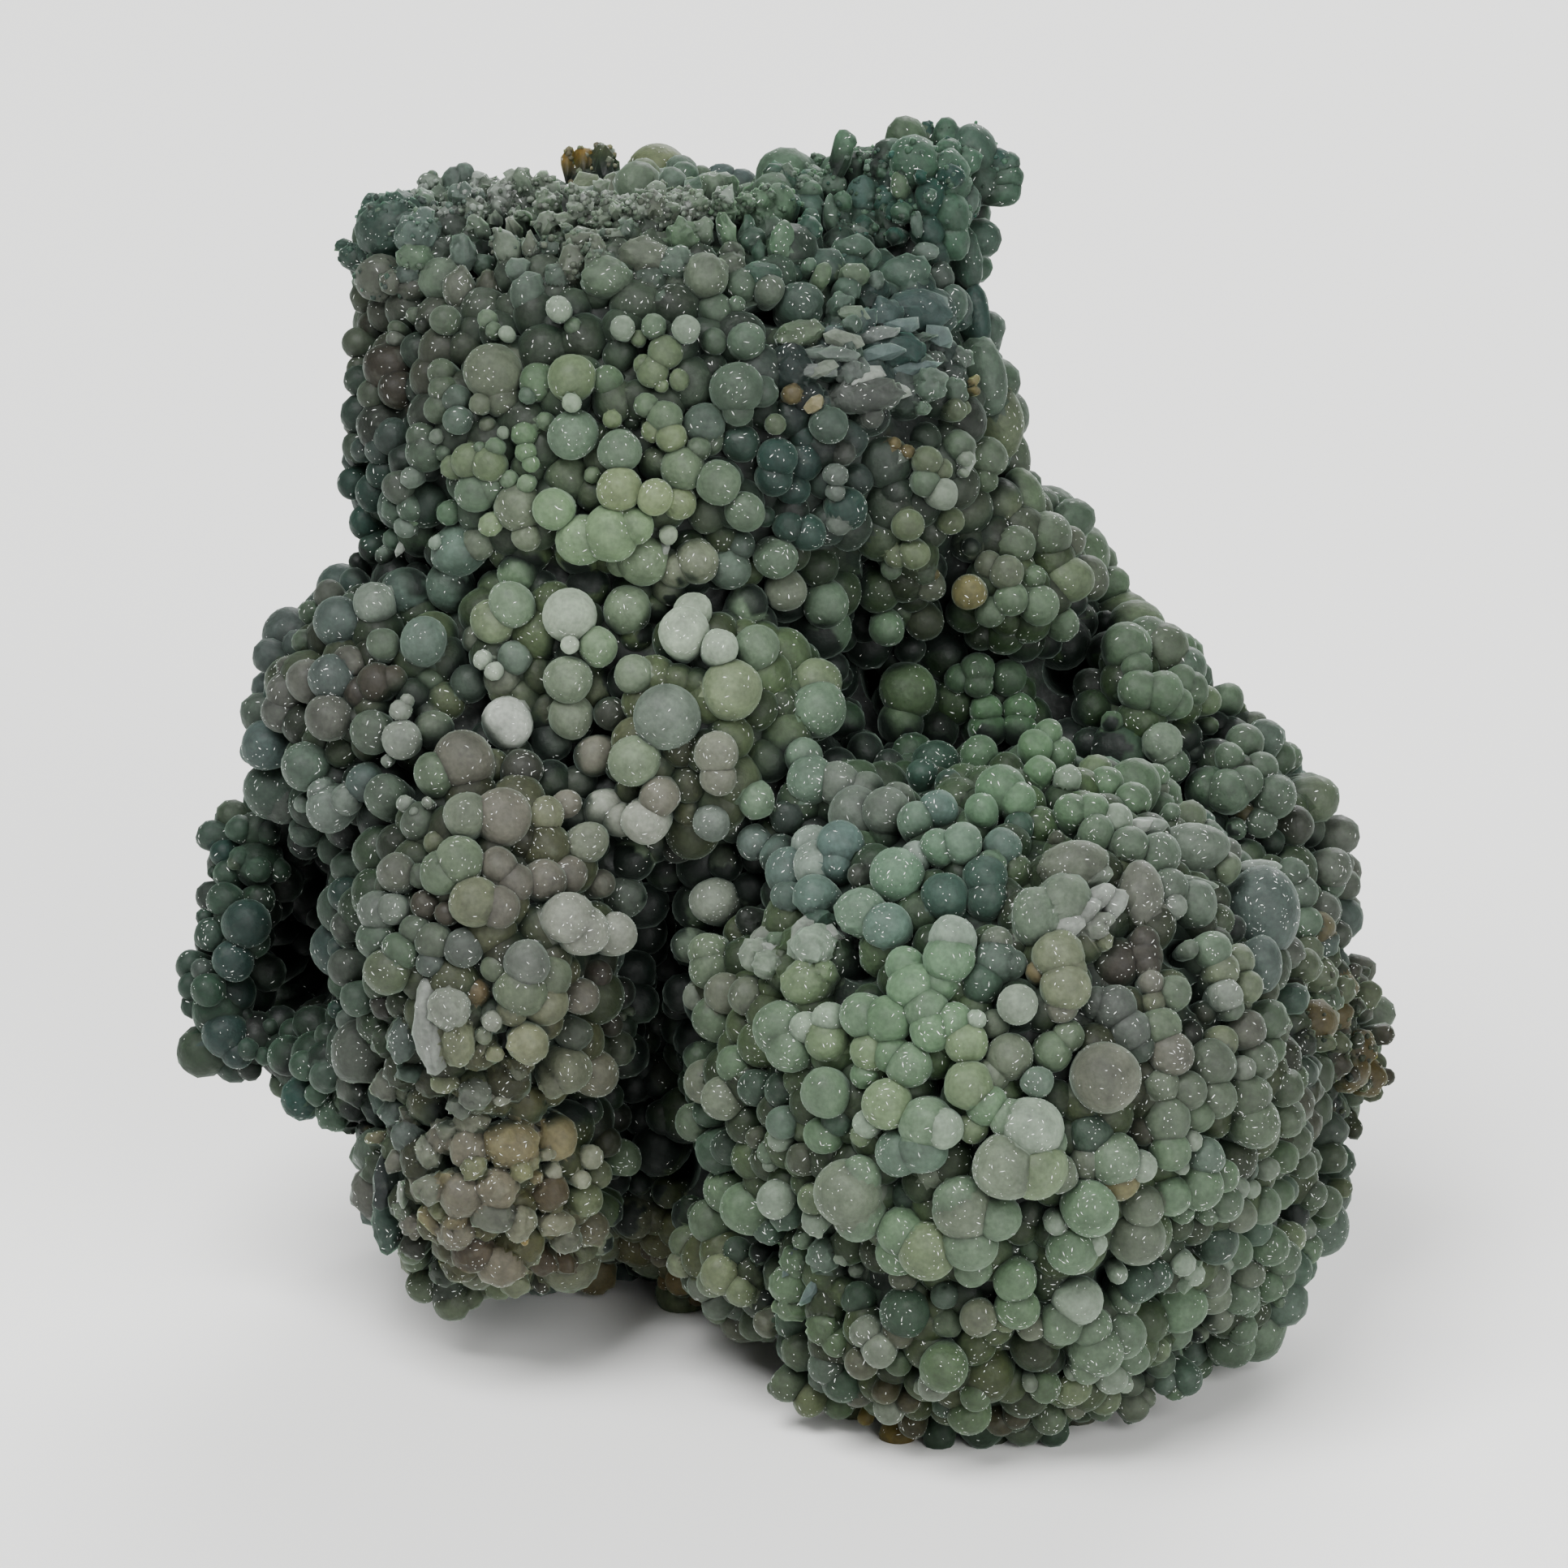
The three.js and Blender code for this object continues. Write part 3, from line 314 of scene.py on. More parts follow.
    [346, -126, 11.5, 1, "a"], [332, -119, 12, 0, "y"], [320, -112, 11, 0, "y"], [334, -134, 12, -2, "g"],
    [314, -126, 8, -6, "n"], [326, -146, 15, -2, "a"], [343, -143, 11, 1, "a"], [342, -154, 9, -1, "n"],
    [356, -164, 13.5, 1, "a"], [362, -182, 13, 1, "a"], [350, -178, 15, 0, "a"], [336, -168, 11, -4, "t"],
    [367, -192, 8, 0, "y"], [369, -174, 8, 0, "y"], [334, -192, 10, -8, "d"], [343, -202, 10, 0, "y"],
    [323, -86, 11, 0, "g"], [318, -159, 10, -6, "d"],
    # the middle of the right dome
    [62, -193, 16, 10, "y"], [86, -205, 17, 8, "s"], [96, -208, 13, 10, "w"], [84, -220, 16, 7, "b"],
    [70, -223, 15, 7, "b"], [114, -207, 10, 5, "y"], [150, -208, 19, 11, "w"], [137, -203, 13, 9, "s"],
    [159, -217, 12, 9, "s"], [133, -231, 20.5, 13, "m"], [153, -233, 19, 12, "y"], [166, -236, 12, 8, "m"],
    [109, -258, 18.5, 8, "m"], [106, -253, 16, 8, "s"], [129, -262, 14, 9, "s"], [77, -248, 12, -6, "t"],
    [72, -272, 15, 7, "g"], [70, -284, 15, 8, "g"], [88, -284, 18.5, 11, "y"], [112, -279, 17, 10, "s"],
    [114, -293, 12, 7, "s"], [72, -300, 9, 4, "m"], [140, -301, 13, 9, "g"], [142, -318, 14, 9, "g"],
    [134, -326, 8, 5, "y"], [150, -282, 9, -4, "g"], [138, -283, 7, -4, "d"], [148, -260, 10, -6, "n"],
    [165, -266, 8, 7, "w"], [185, -257, 17.5, 11, "g"], [174, -282, 16, 9, "g"], [188, -279, 8, 10, "w"],
    [184, -228, 12, 3, "m"], [186, -212, 14, 2, "t"], [200, -227, 16, 7, "s"], [202, -239, 14, 5, "a"],
    [217, -232, 10, 9, "w"], [218, -210, 10, 0, "n"], [213, -275, 18, 4, "m"], [218, -256, 14, 6, "m"],
    [178, -314, 16, 10, "w"], [168, -327, 14, 7, "s"], [186, -330, 14, 7, "s"], [150, -330, 9, 6, "m"],
    [190, -344, 17, 7, "s"], [206, -336, 15, 7, "s"], [203, -298, 6, 5, "w"], [216, -303, 13, 3, "t"],
    [207, -314, 11, 3, "s"], [132, -216, 7, 6, "g"], [90, -235, 10, 2, "m"], [50, -206, 9, 7, "w"],
    [47, -213, 7, 6, "y"], [39, -249, 22, 10, "m"], [45, -260, 17, 9, "s"], [46, -238, 13, 8, "s"],
    # below the crevice
    [-55, -208, 12, 6, "s"], [-75, -206, 11, 1, "n"], [-33, -222, 12, -6, "t"], [-1, -206, 10, 6, "b"],
    [-3, -216, 8, 5, "w"], [-17, -216, 7, 1, "n"], [-9, -224, 8, 2, "s"], [-9, -232, 4.5, 4, "w"],
    [24, -213, 12, 4, "g"], [33, -204, 10, 3, "t"], [12, -228, 11, 2, "n"], [-34, -249, 15, 7, "g"],
    [-22, -260, 17, 8, "g"], [-45, -269, 14, 7, "s"], [-51, -265, 9, 6, "s"], [-5, -253, 12.5, 9, "w"],
    [1, -261, 11, 4, "t"], [-9, -273, 10, 2, "t"], [-60, -283, 11.5, 8, "s"], [-63, -296, 9.5, 7, "s"],
    [-83, -290, 7, -2, "n"], [-77, -294, 7, -1, "m"], [-74, -311, 6, -1, "a"], [-65, -310, 9, -2, "a"],
    [-54, -320, 7, -2, "a"], [-39, -301, 13, 3, "y"], [-44, -306, 10, 4, "s"], [-26, -311, 11, 3, "y"],
    [-14, -288, 8, 1, "b"], [-29, -287, 9, -2, "t"], [8, -292, 11, 5, "g"], [4, -306, 14, 6, "g"],
    [4, -319, 11, 5, "g"], [10, -278, 7, 3, "s"], [19, -266, 9, 4, "w"], [18, -252, 10, 3, "y"],
    [-10, -331, 9.5, 3, "m"], [24, -288, 11, 3, "b"], [35, -289, 5, 3, "w"], [44, -296, 5, -2, "w"],
    [46, -313, 11, -3, "t"], [-82, -238, 6, -2, "n"], [-90, -248, 8, -2, "n"],
    # the right edge of the dome
    [232, -204, 15, 4, "s"], [250, -201, 12, 4, "g"], [234, -222, 13, 7, "g"], [247, -216, 7, 8, "w"],
    [256, -226, 12, 8, "b"], [267, -238, 10, 7, "g"], [252, -244, 15, 8, "g"], [236, -250, 13, 7, "g"],
    [241, -232, 5, 10, "w"], [268, -255, 12, 6, "s"], [242, -260, 8, 5, "g"], [258, -262, 7, 5, "s"],
    [286, -206, 16, 10, "s"], [307, -204, 13, 5, "s"], [313, -219, 12, 2, "s"], [306, -229, 10, 3, "g"],
    [295, -235, 8, 5, "w"], [282, -235, 8, -2, "b"], [319, -233, 9.5, 2, "s"], [276, -246, 8, 6, "w"],
    [285, -247, 6, 6, "w"], [292, -258, 12, 8, "s"], [278, -263, 11, 5, "m"], [307, -250, 10, 2, "b"],
    [315, -265, 10, -2, "g"], [326, -254, 10, 2, "s"], [336, -259, 10, 1, "s"], [336, -267, 8, 1, "g"],
    [347, -251, 6, 1, "y"], [322, -276, 8, 3, "w"], [312, -280, 11, 4, "y"], [298, -284, 12, 5, "g"],
    [306, -292, 12, 4, "s"], [324, -287, 10, 2, "g"], [306, -303, 9, 3, "s"], [264, -280, 14, 0, "t"],
    [276, -286, 11, 2, "g"], [270, -293, 6, 5, "w"], [243, -292, 8, 9, "w"], [249, -299, 8, 9, "w"],
    [225, -299, 12, 2, "t"], [242, -319, 17.5, 6, "g"], [263, -314, 12, 5, "m"], [262, -302, 12, 5, "m"],
    [280, -313, 13, 4, "s"], [266, -327, 11, 4, "m"], [286, -321, 8, 3, "s"], [298, -310, 10, 2, "g"],
    [307, -312, 4.5, 2, "s"], [306, -320, 3.5, 1, "s"], [276, -347, 15, 7, "s"], [282, -336, 10, 5, "s"],
    [229, -346, 8, 5, "y"], [247, -343, 5.5, 4, "y"], [255, -337, 8, 4, "m"], [282, -222, 7, -6, "d"],
    [286, -301, 10, 2, "m"],
    # the underside of the front
    [98, -310, 9, 3, "b"], [74, -321, 16, 2, "t"], [70, -333, 11, 2, "m"], [99, -327, 10, 0, "s"],
    [118, -324, 12, 8, "m"], [2, -369, 11, 2, "s"], [-6, -371, 5, 1, "s"], [16, -378, 11, 2, "y"],
    [26, -356, 12, 4, "b"], [36, -366, 13, 3, "t"], [34, -380, 10, 1, "g"], [47, -353, 11, 6, "m"],
    [58, -345, 11, 10, "w"], [50, -334, 10, 7, "w"], [70, -352, 9, 1, "g"], [24, -332, 11, 2, "g"],
    [32, -341, 9, 2, "g"], [50, -389, 5.5, 3, "a"], [45, -393, 4, -2, "g"], [64, -382, 10, 8, "w"],
    [62, -370, 9, 3, "n"], [70, -399, 11, 3, "a"], [79, -392, 9, 1, "n"], [94, -398, 8, -1, "n"],
    [76, -376, 8, 0, "n"], [97, -355, 15, 9, "g"], [92, -365, 11, 9, "w"], [83, -368, 4.5, 8, "w"],
    [113, -384, 13.5, 5, "g"], [117, -372, 10, 5, "g"], [98, -379, 8, 1, "t"], [117, -404, 8, -3, "g"],
    [132, -401, 8, -6, "d"], [132, -390, 9, -2, "n"], [46, -372, 10, -1, "m"], [162, -350, 10, -4, "d"],
    [150, -366, 5, 6, "w"], [159, -367, 10, 4, "g"], [176, -368, 12, 3, "y"], [176, -359, 5, 7, "w"],
    [184, -355, 11, 8, "s"], [200, -362, 10, 8, "w"], [208, -367, 6, 9, "w"], [212, -350, 12, 6, "s"],
    [196, -376, 11, 3, "y"], [178, -382, 7, 5, "m"], [194, -382, 9, 3, "s"], [214, -382, 10, 3, "m"],
    [222, -377, 7, 2, "m"], [162, -388, 11, 2, "s"], [160, -397, 4.5, 2, "s"], [169, -395, 4, 2, "s"],
    [193, -391, 3, 2, "s"], [212, -389, 4.5, 1, "s"], [142, -386, 9, -2, "n"], [235, -366, 9, 3, "b"],
    [246, -365, 11, 2, "t"], [240, -371, 8, 2, "g"], [257, -360, 9, 1, "g"], [224, -362, 9, 2, "n"],
]
# Long lumps of the front: across, up, half width, half height and lift, all in tenths, turn in
# degrees, and tint.
DROPS = [
    # the knob at the left of the rim
    [-240, 344, 24, 23, 3, 0, "t"], [-254, 334, 15, 19, 2, 10, "s"], [-226, 339, 14, 16, 5, -20, "b"],
    [-249, 312, 17, 15, 2, 0, "m"], [-260, 322, 10, 12, 1, 0, "t"], [-227, 324, 12, 10, 4, 0, "g"],
    [-209, 310, 17, 15, 0, 0, "s"], [-229, 306, 11, 9, 0, 0, "u"],
    # the drops that hang under the rim
    [-200, 304, 10, 14, 3, 0, "m"], [-197, 327, 9, 13, 6, 10, "b"], [-188, 343, 6, 11, 7, 35, "s"],
    [-171, 330, 8.5, 14, 7, 25, "f"], [-164, 316, 8, 9, 5, 20, "b"], [-155, 329, 5, 12, 4, 15, "m"],
    [-178, 347, 5, 8, 6, 20, "f"], [-157, 301, 11, 14, 3, 0, "b"], [-147, 344, 8, 8, 6, 0, "f"],
    [-144, 329, 7, 10, 1, 0, "t"], [-135, 347, 8, 5, 6, 0, "f"], [-162, 349, 6, 5, 5, 0, "s"],
    [-182, 302, 9, 16, -5, 0, "n"], [-185, 320, 8, 8, -2, 0, "t"], [-139, 310, 9, 10, 1, 0, "b"],
    # the slabs under the middle of the rim, frosted along their upper edges
    [-123, 332, 13, 9, 3, 0, "m"], [-122, 339, 10, 3.5, 5, 0, "w"], [-105, 338, 11, 5, 5, 0, "w"],
    [-129, 319, 10, 13, 3, 0, "m"], [-109, 311, 17, 13, 5, 0, "s"], [-85, 324, 18, 11, 3, -10, "m"],
    [-66, 319, 12, 12, 2, 0, "b"], [-94, 347, 9, 5, 3, 0, "w"], [-76, 346, 10, 5, 2, 0, "f"],
    [-62, 349, 7, 5, 2, 0, "w"], [-119, 347, 8, 5, 2, 0, "u"], [-48, 312, 14, 15, 5, 0, "m"],
    [-43, 321, 9, 3, 8, -30, "w"],
    # the right half of the rim and the horn
    [-49, 341, 7, 8, 4, 20, "f"], [-35, 339, 5.5, 12, 4, 20, "g"], [-22, 342, 6, 9, -2, 0, "t"],
    [-26, 356, 8, 7, 3, 0, "f"], [-4, 357, 13, 14, 3, 0, "g"], [-2, 333, 8, 15, 4, -10, "g"],
    [-15, 326, 5, 9, -3, 0, "t"], [-32, 326, 9, 8, 0, 0, "u"], [-14, 312, 14, 9, 1, 0, "t"],
    [12, 369, 12, 8, 3, 10, "f"], [16, 344, 7, 12, -4, 0, "t"], [19, 330, 6, 11, -5, 0, "d"],
    [29, 351, 6, 14, 5, 5, "s"], [31, 370, 8, 8, 4, 0, "f"], [45, 378, 12, 10, 3, 30, "s"],
    [49, 364, 11, 13, 1, 0, "b"], [63, 361, 10, 10, -2, 0, "t"], [71, 369, 5.5, 9.5, 7, 5, "y"],
    [64, 386, 12, 15, 2, -20, "s"], [80, 384, 16, 18, 3, 0, "g"], [89, 402, 6, 9, 2, 10, "t"],
    [87, 405, 4, 5, 1, 0, "s"], [101, 399, 10, 12, 3, 0, "g"], [118, 392, 15, 19, 4, 10, "s"],
    [122, 374, 13, 16, 3, 0, "s"], [102, 374, 13, 18, 1, 0, "g"], [90, 362, 10, 13, 0, 0, "t"],
    [115, 360, 6, 10, 4, -20, "f"], [104, 352, 12, 14, 1, 0, "g"], [82, 345, 4.5, 9, 4, 0, "f"],
    [73, 349, 8, 4, 3, 20, "s"], [72, 338, 6, 9, -5, 0, "t"], [61, 337, 7, 7, 3, 0, "t"],
    [44, 341, 9, 5, 5, 0, "w"], [43, 330, 14, 8, 3, 0, "s"], [87, 328, 9, 6, 5, 0, "w"],
    [43, 313, 10, 8, 5, 0, "y"], [73, 314, 18, 12, 4, 10, "s"], [23, 312, 6, 9, 2, -20, "y"],
    [56, 309, 6, 8, 4, 0, "f"], [97, 312, 9, 11, 2, 0, "m"], [115, 325, 8, 20, 2, 5, "s"],
    [106, 336, 10, 14, 1, 0, "g"],
    # the smooth right side of the neck
    [119, 296, 5, 10, 4, -15, "o"], [120, 285, 8, 26, 1, 3, "t"], [104, 295, 10, 13, 2, 0, "s"],
    [125, 252, 13, 26, 1, 12, "s"], [133, 224, 15, 24, 1, 8, "y"], [140, 202, 14, 20, 1, 8, "s"],
    [125, 202, 13, 13, 2, 0, "s"], [148, 176, 14, 20, 1, 15, "g"], [132, 172, 16, 18, 1, 0, "y"],
    [164, 154, 14, 14, 1, 30, "s"], [176, 150, 11, 10, 1, 0, "m"], [188, 128, 14, 15, 2, 30, "m"],
    [176, 126, 16, 14, 3, 0, "y"], [142, 148, 14, 12, 1, 0, "s"], [115, 149, 11, 12, 1, 0, "m"],
    # the sheets of clearer stone on the right of the neck
    [82, 290, 20, 15, 1, 0, "b"], [62, 289, 12, 10, 1, 0, "b"], [65, 266, 22, 11, 1, 0, "t"],
    [49, 238, 26, 12, 4, 5, "m"], [26, 263, 22, 6, 5, 0, "w"], [10, 276, 16, 9, 3, 10, "y"],
    [33, 276, 14, 7, 2, 0, "b"], [16, 253, 18, 5, 5, 0, "x"], [93, 262, 8, 6, 3, 0, "f"],
    [109, 263, 8, 7, 4, 0, "f"], [56, 276, 18, 5, 5, 12, "x"], [82, 274, 14, 3, 5, 8, "f"],
    # the streaked white patch of the right lobe and the big lumps round it
    [170, -87, 8, 14, 9, -60, "x"], [179, -79, 8, 16, 10, -55, "x"], [189, -70, 8, 14, 10, -50, "x"],
    [200, -73, 8, 10, 9, -30, "x"], [188, -85, 7, 13, 8, -70, "w"], [188, -56, 7, 13, 8, -70, "w"],
    [176, -50, 22, 16, 6, 10, "m"], [153, -80, 17, 19, 7, 0, "s"], [216, -68, 15, 22, 4, 0, "m"],
    [250, -38, 22, 15, 4, 0, "f"], [251, -73, 13, 15, 4, 0, "s"], [293, -78, 24, 29, 5, 0, "b"],
    [290, -51, 16, 5, 9, 0, "x"], [292, -110, 13, 19, 3, 0, "b"], [222, -25, 13, 5, 8, 0, "x"],
    [252, -59, 13, 2.5, 9, -15, "w"],
    # the fused and streaked lumps at the lower left
    [-260, -165, 19, 20, 5, 0, "m"], [-275, -166, 8, 19, 2, 0, "f"], [-233, -156, 10, 16, 5, -10, "b"],
    [-216, -148, 10, 30, 8, 5, "x"], [-200, -156, 12, 18, 7, 5, "y"], [-208, -184, 9, 7, 5, 0, "y"],
    [-230, -176, 9, 7, 3, 0, "t"], [-189, -190, 11, 10, 5, 0, "b"], [-172, -193, 7, 5, 5, 0, "w"],
    [-192, -208, 12, 9, 5, 0, "f"], [-252, -200, 9, 12, 1, 0, "k"], [-250, -218, 9, 5, 3, 0, "o"],
    [-226, -203, 12, 8, 0, 0, "u"], [-248, -245, 6, 20, 1, 0, "k"], [-246, -270, 9, 22, 2, 0, "t"],
    [-236, -252, 2.5, 9, 6, 0, "w"], [-249, -278, 4, 6, 9, 0, "w"], [-225, -245, 6, 12, 2, 0, "m"],
    [-218, -227, 9, 11, 4, 0, "f"], [-168, -220, 19, 16, 5, 0, "o"], [-140, -216, 14, 16, 4, 0, "o"],
    [-198, -252, 16, 15, 4, 0, "m"], [-178, -264, 14, 12, 4, 0, "b"], [-162, -268, 10, 13, 4, 0, "f"],
    [-140, -270, 12, 9, 4, 0, "f"], [-93, -267, 14, 15, 3, 0, "m"], [-175, -294, 17, 16, 3, 0, "m"],
    [-120, -306, 16, 14, 2, 0, "o"], [-216, -270, 5, 14, 5, 40, "o"],
]
# The lumps on the ridge behind the bowl: across, up, out, half width, half height and tint.
RIDGE = [
    [-7.9, 37.7, -13, 2.1, 2.2, "y"], [-12.2, 37.4, -13, 1.3, 1.2, "o"], [-13.5, 39, -13.5, 0.5, 0.8, "a"],
    [-12.5, 39.2, -13.5, 0.6, 0.7, "a"], [-11.3, 39.2, -13.5, 0.8, 0.9, "e"],
    [-12.9, 38, -13, 0.7, 0.5, "a"], [-10.8, 38.5, -13, 0.5, 0.6, "e"], [-5.1, 37.4, -12.5, 0.9, 1.2, "s"],
    [-3.9, 38.2, -12.5, 0.9, 0.55, "b"], [-2.6, 37.8, -12.5, 0.9, 0.6, "b"],
    [-1.7, 37.2, -12, 0.6, 0.5, "s"], [-4.5, 36.6, -12, 0.6, 0.6, "s"], [0.5, 38.5, -11, 0.95, 0.95, "b"],
]
# Where a crust lies: across, up, half width, half height, lumps, grain density and tints.
CRUSTS = [
    [-20.5, 36, 2.6, 1.3, 24, 16, "fbwx"], [-15.5, 36, 3, 1.2, 28, 16, "fwsx"],
    [-11, 35.4, 2.6, 0.9, 18, 16, "fwsx"], [-6.5, 35.3, 2.8, 0.8, 18, 16, "fmwx"],
    [-3, 35.9, 2, 1, 14, 14, "gsfg"], [0.5, 37, 2.4, 0.9, 16, 14, "tgsf"], [4, 38, 2.4, 1, 16, 12, "gsfg"],
    [9.5, 38, 4.4, 3.6, 16, 4, "gsgt"], [4, 35, 5, 2.2, 10, 4, "tgtg"], [34.5, -16, 2.8, 5, 26, 3, "eyne"],
    [-17.5, -24, 4.5, 3.5, 14, 0, "yofm"], [5, 25.5, 4, 3, 8, 0, "bsos"], [-13, 33.2, 5, 1.4, 8, 8, "fmsb"],
    [-24.2, 33.2, 3.2, 3.4, 10, 7, "tsbt"], [-12.2, 38.6, 2, 1.4, 0, 12, "aoya"],
]
# Broken slivers of clearer stone: across, up, half length, half width, turn in degrees and tint.
SHARDS = [
    [6, 26.5, 2.2, 0.5, 10, "b"], [3.5, 27.2, 1.8, 0.45, -8, "f"], [8, 25.4, 1.8, 0.5, 15, "b"],
    [5, 25, 1.6, 0.4, 20, "w"], [9.5, 27.5, 1.4, 0.5, -20, "b"], [2.5, 25.5, 1.2, 0.4, 30, "f"],
    [7.2, 28.2, 1.5, 0.4, 5, "b"], [4.2, 28.8, 1.3, 0.4, -15, "s"], [6.8, 24, 1.4, 0.4, 12, "w"],
    [1.8, 23.2, 1, 0.35, 40, "o"], [1.2, -9, 1.3, 0.7, 50, "w"], [2.6, -9.3, 1.2, 0.6, -40, "w"],
    [-0.8, -10.2, 0.9, 0.5, 60, "w"], [-1.5, -9.5, 1, 0.5, 10, "f"], [2, -11, 0.8, 0.4, 0, "w"],
    [21.7, -2.6, 1.1, 0.35, 5, "w"], [5.6, -20, 1.3, 0.4, 55, "w"], [6.6, -19.2, 1, 0.4, 20, "o"],
    [-7.3, 14.4, 0.8, 0.25, 60, "w"], [-6.8, 13.6, 0.6, 0.25, -30, "w"], [11.3, 19.9, 1, 0.45, 60, "w"],
    [-23.4, 14.8, 1.3, 0.35, 60, "w"], [-22.9, 16.2, 1, 0.3, 40, "g"], [2.4, -14, 0.9, 0.4, 30, "w"],
    [0.6, -29, 1.6, 0.4, 75, "b"], [-0.4, -30.2, 1.4, 0.35, 80, "f"], [1.6, -31, 1.2, 0.4, 60, "b"],
    [24.6, -30, 1.6, 0.7, 50, "s"], [28, -17.2, 0.8, 0.3, 60, "w"], [5.6, -34, 1.4, 0.6, 30, "f"],
]
# Where the skin is rough and broken: across, up, half width, half height and the depth of it.
BROKEN = [
    [-13, 35.6, 14, 2.6, 0.32], [-12, 33, 13, 2.5, 0.2], [6, 36, 9, 5.2, 0.13], [6, 26.5, 7, 4, 0.26],
    [18, -7, 4.5, 3.2, 0.16], [-21, -22, 8, 9, 0.22], [-24.5, 33, 4, 4.4, 0.12], [34, -16, 4, 7, 0.15],
    [1, -9.6, 4, 2.6, 0.22], [-12.5, 38.6, 3, 2, 0.26], [-16, -30, 7, 3, 0.2], [1, -30.5, 3, 4, 0.2],
]
# How the stone changes over its front: across, up, tint and lightness.
REGIONS = [
    [-24.8, 34.8, "t", 0.76], [-11, 35, "f", 0.95], [-18.5, 36, "f", 0.95], [-2, 35.5, "g", 0.95],
    [9, 38, "t", 0.66], [3, 36, "t", 0.74], [-8, 31, "s", 0.44], [-25, 26, "n", 0.45], [-26, 18, "t", 0.45],
    [-13, 26, "g", 0.68], [-33, -4, "t", 0.34], [-34, -13, "t", 0.33], [-30, -17, "t", 0.3],
    [10, 32, "t", 0.44], [6, 27, "b", 0.6], [-0.3, 19, "k", 0.5], [3.5, 20.5, "k", 0.5],
    [7.5, 22, "k", 0.6], [11, 18, "y", 0.75], [16, 13, "s", 0.5], [-8, 17, "y", 1.2], [-28, 5, "u", 0.75],
    [-32, 1, "b", 0.75], [-11, 3, "m", 1.18], [9, 3, "d", 1], [14, 4, "g", 0.9], [23, 6, "g", 0.6],
    [32, -3, "s", 0.5], [-34, -9, "t", 0.3], [-18, -7, "m", 0.84], [-20, -17, "m", 0.86],
    [-16, -24, "o", 0.85], [-17, -29, "u", 1], [-24, -24, "k", 1.2], [7, -4, "b", 1], [6, -14, "g", 1],
    [22, -12, "m", 0.85], [29, -8, "b", 0.75], [13, -24, "s", 1], [24, -29, "s", 0.8], [9, -37, "e", 0.7],
    [34, -16, "e", 0.45], [-16, 12, "s", 1.24], [-5, 10, "s", 1.28], [-10, -10, "m", 0.75],
    [-27, -8, "d", 0.5], [0, -20, "s", 0.8],
]
REGION_REACH = 5.0
# How much of a ball's hue and of its lightness comes from the tints of the region that it is in.
REGION_HUE = 0.6
REGION_LIGHT = 0.35
# How much lighter or darker one ball of the front is than another.
FRONT_LIGHTS = (0.88, 1.12)

# How far the balls of the front lean out and how much more the high ones do, how light one at the
# middling lift is, and what one step of lift adds: painted light on high balls, painted shade on low.
LEAN_OUT = 0.35
RISE_LEAN = 0.7
MIDDLING_LIFT = 0.4
FRONT_LIGHT = 1.05
LIFT_PAINTED_LIGHT = 0.32
# The lumps on the ridge: the way that they face, and how light they are.
RIDGE_WAY = Vector((0, 0.8, -0.6))
RIDGE_LIGHT = 0.6

# The balls of the ground: how far out they are looked for, how far apart they are by their
# radius, how far they stray, and how their radii and tints vary.
FIELD_ACROSS = 40.0
FIELD_UP = 42.0
GROUND_SPACING = 1.1
GROUND_STRAY = 0.5
GROUND_SIZES = (0.7, 1.2)
GROUND_TINTS = "smtsbe"
# They keep inside this share of a mass, so far from a pit, and this share of their radii apart.
GROUND_EDGE = 1.02
PIT_MARGIN = 0.2
GROUND_CLOSENESS = 0.5
# Their share of the region's hue, their lightness, darker partly as painted shade where they lie low,
# and what their red, green and blue are multiplied by below the neck, where the ground is yellower.
GROUND_HUE = 0.9
GROUND_LIGHT = 0.56
GROUND_WARMTH = np.array([0.95, 1.05, 0.68])
WARM_BELOW = 15.0

# The balls of the hidden sides: how far apart they are tried, how rare the large ones are, how
# far they are lifted, and the share of their radii that they stay apart.
HIDDEN_SPACING = 1.25
HIDDEN_RARITY = 2.2
HIDDEN_LIFTS = (-0.9, 0.4)
HIDDEN_CLOSENESS = 0.68
# A place that faces the front more than this, and lies less than this behind it, isn't hidden.
SEEN_FACING = 0.12
SEEN_DEPTH = 2.5
# A place inside this share of another mass is inside the stone.
INSIDE_SHARE = 0.97
# A hidden ball's own share of its colour, how its lightness varies, how far back the front's
# tints reach, and the depth over which they give way to its patch's.
OWN_SHARE = 0.4
HIDDEN_LIGHTS = (0.85, 1.05)
FRONT_REACH = 22.0
FRONT_FADE = 10.0

# The tints that the balls of a hidden patch are drawn from, one word for each kind of patch.
PATCHES = ["ssgms", "ggsyt", "bbstm", "ttebs", "yssgs", "mmbsu"]
PATCH_SIZE = 11.0
# The waves that the patches follow: how fast each one runs, and where it starts.
PATCH_RATES = (2.1, 1.7, 2.6)
PATCH_STARTS = (0.7, 2.9, 1.3)

# The lumps of a crust: how far they are lifted, how light they are, and their radii.
CRUST_LIFTS = (-0.6, 0.9)
CRUST_LIGHT = 0.9
CRUST_SIZES = (0.4, 0.95)
# The fine grains: how many a lump of radius 1 has at a density of 1, how their light and size
# vary, and how far they sink in by their radius.
GRAIN_COUNT = 2.2
GRAIN_LIGHTS = (0.6, 1.2)
GRAIN_SIZES = (0.5, 1.6)
GRAIN_SINK = 0.4
# A grain is left out where it turns from its lump's way and from the front, past these shares.
GRAIN_BEHIND = -0.1
GRAIN_FACING = 0.2

# Painted shade in the hollows: a ball is darkest where less than this share of the ways out of it
# is free, and gets lighter over the range that follows. Besides, the shade takes so much of its red,
# green and blue.
HOLLOW_OPENNESS = 0.25
HOLLOW_RANGE = 0.5
HOLLOW_LIGHT = 0.16
HOLLOW_SHADE_LOSS = np.array([0.5, 0.1, 0.4])

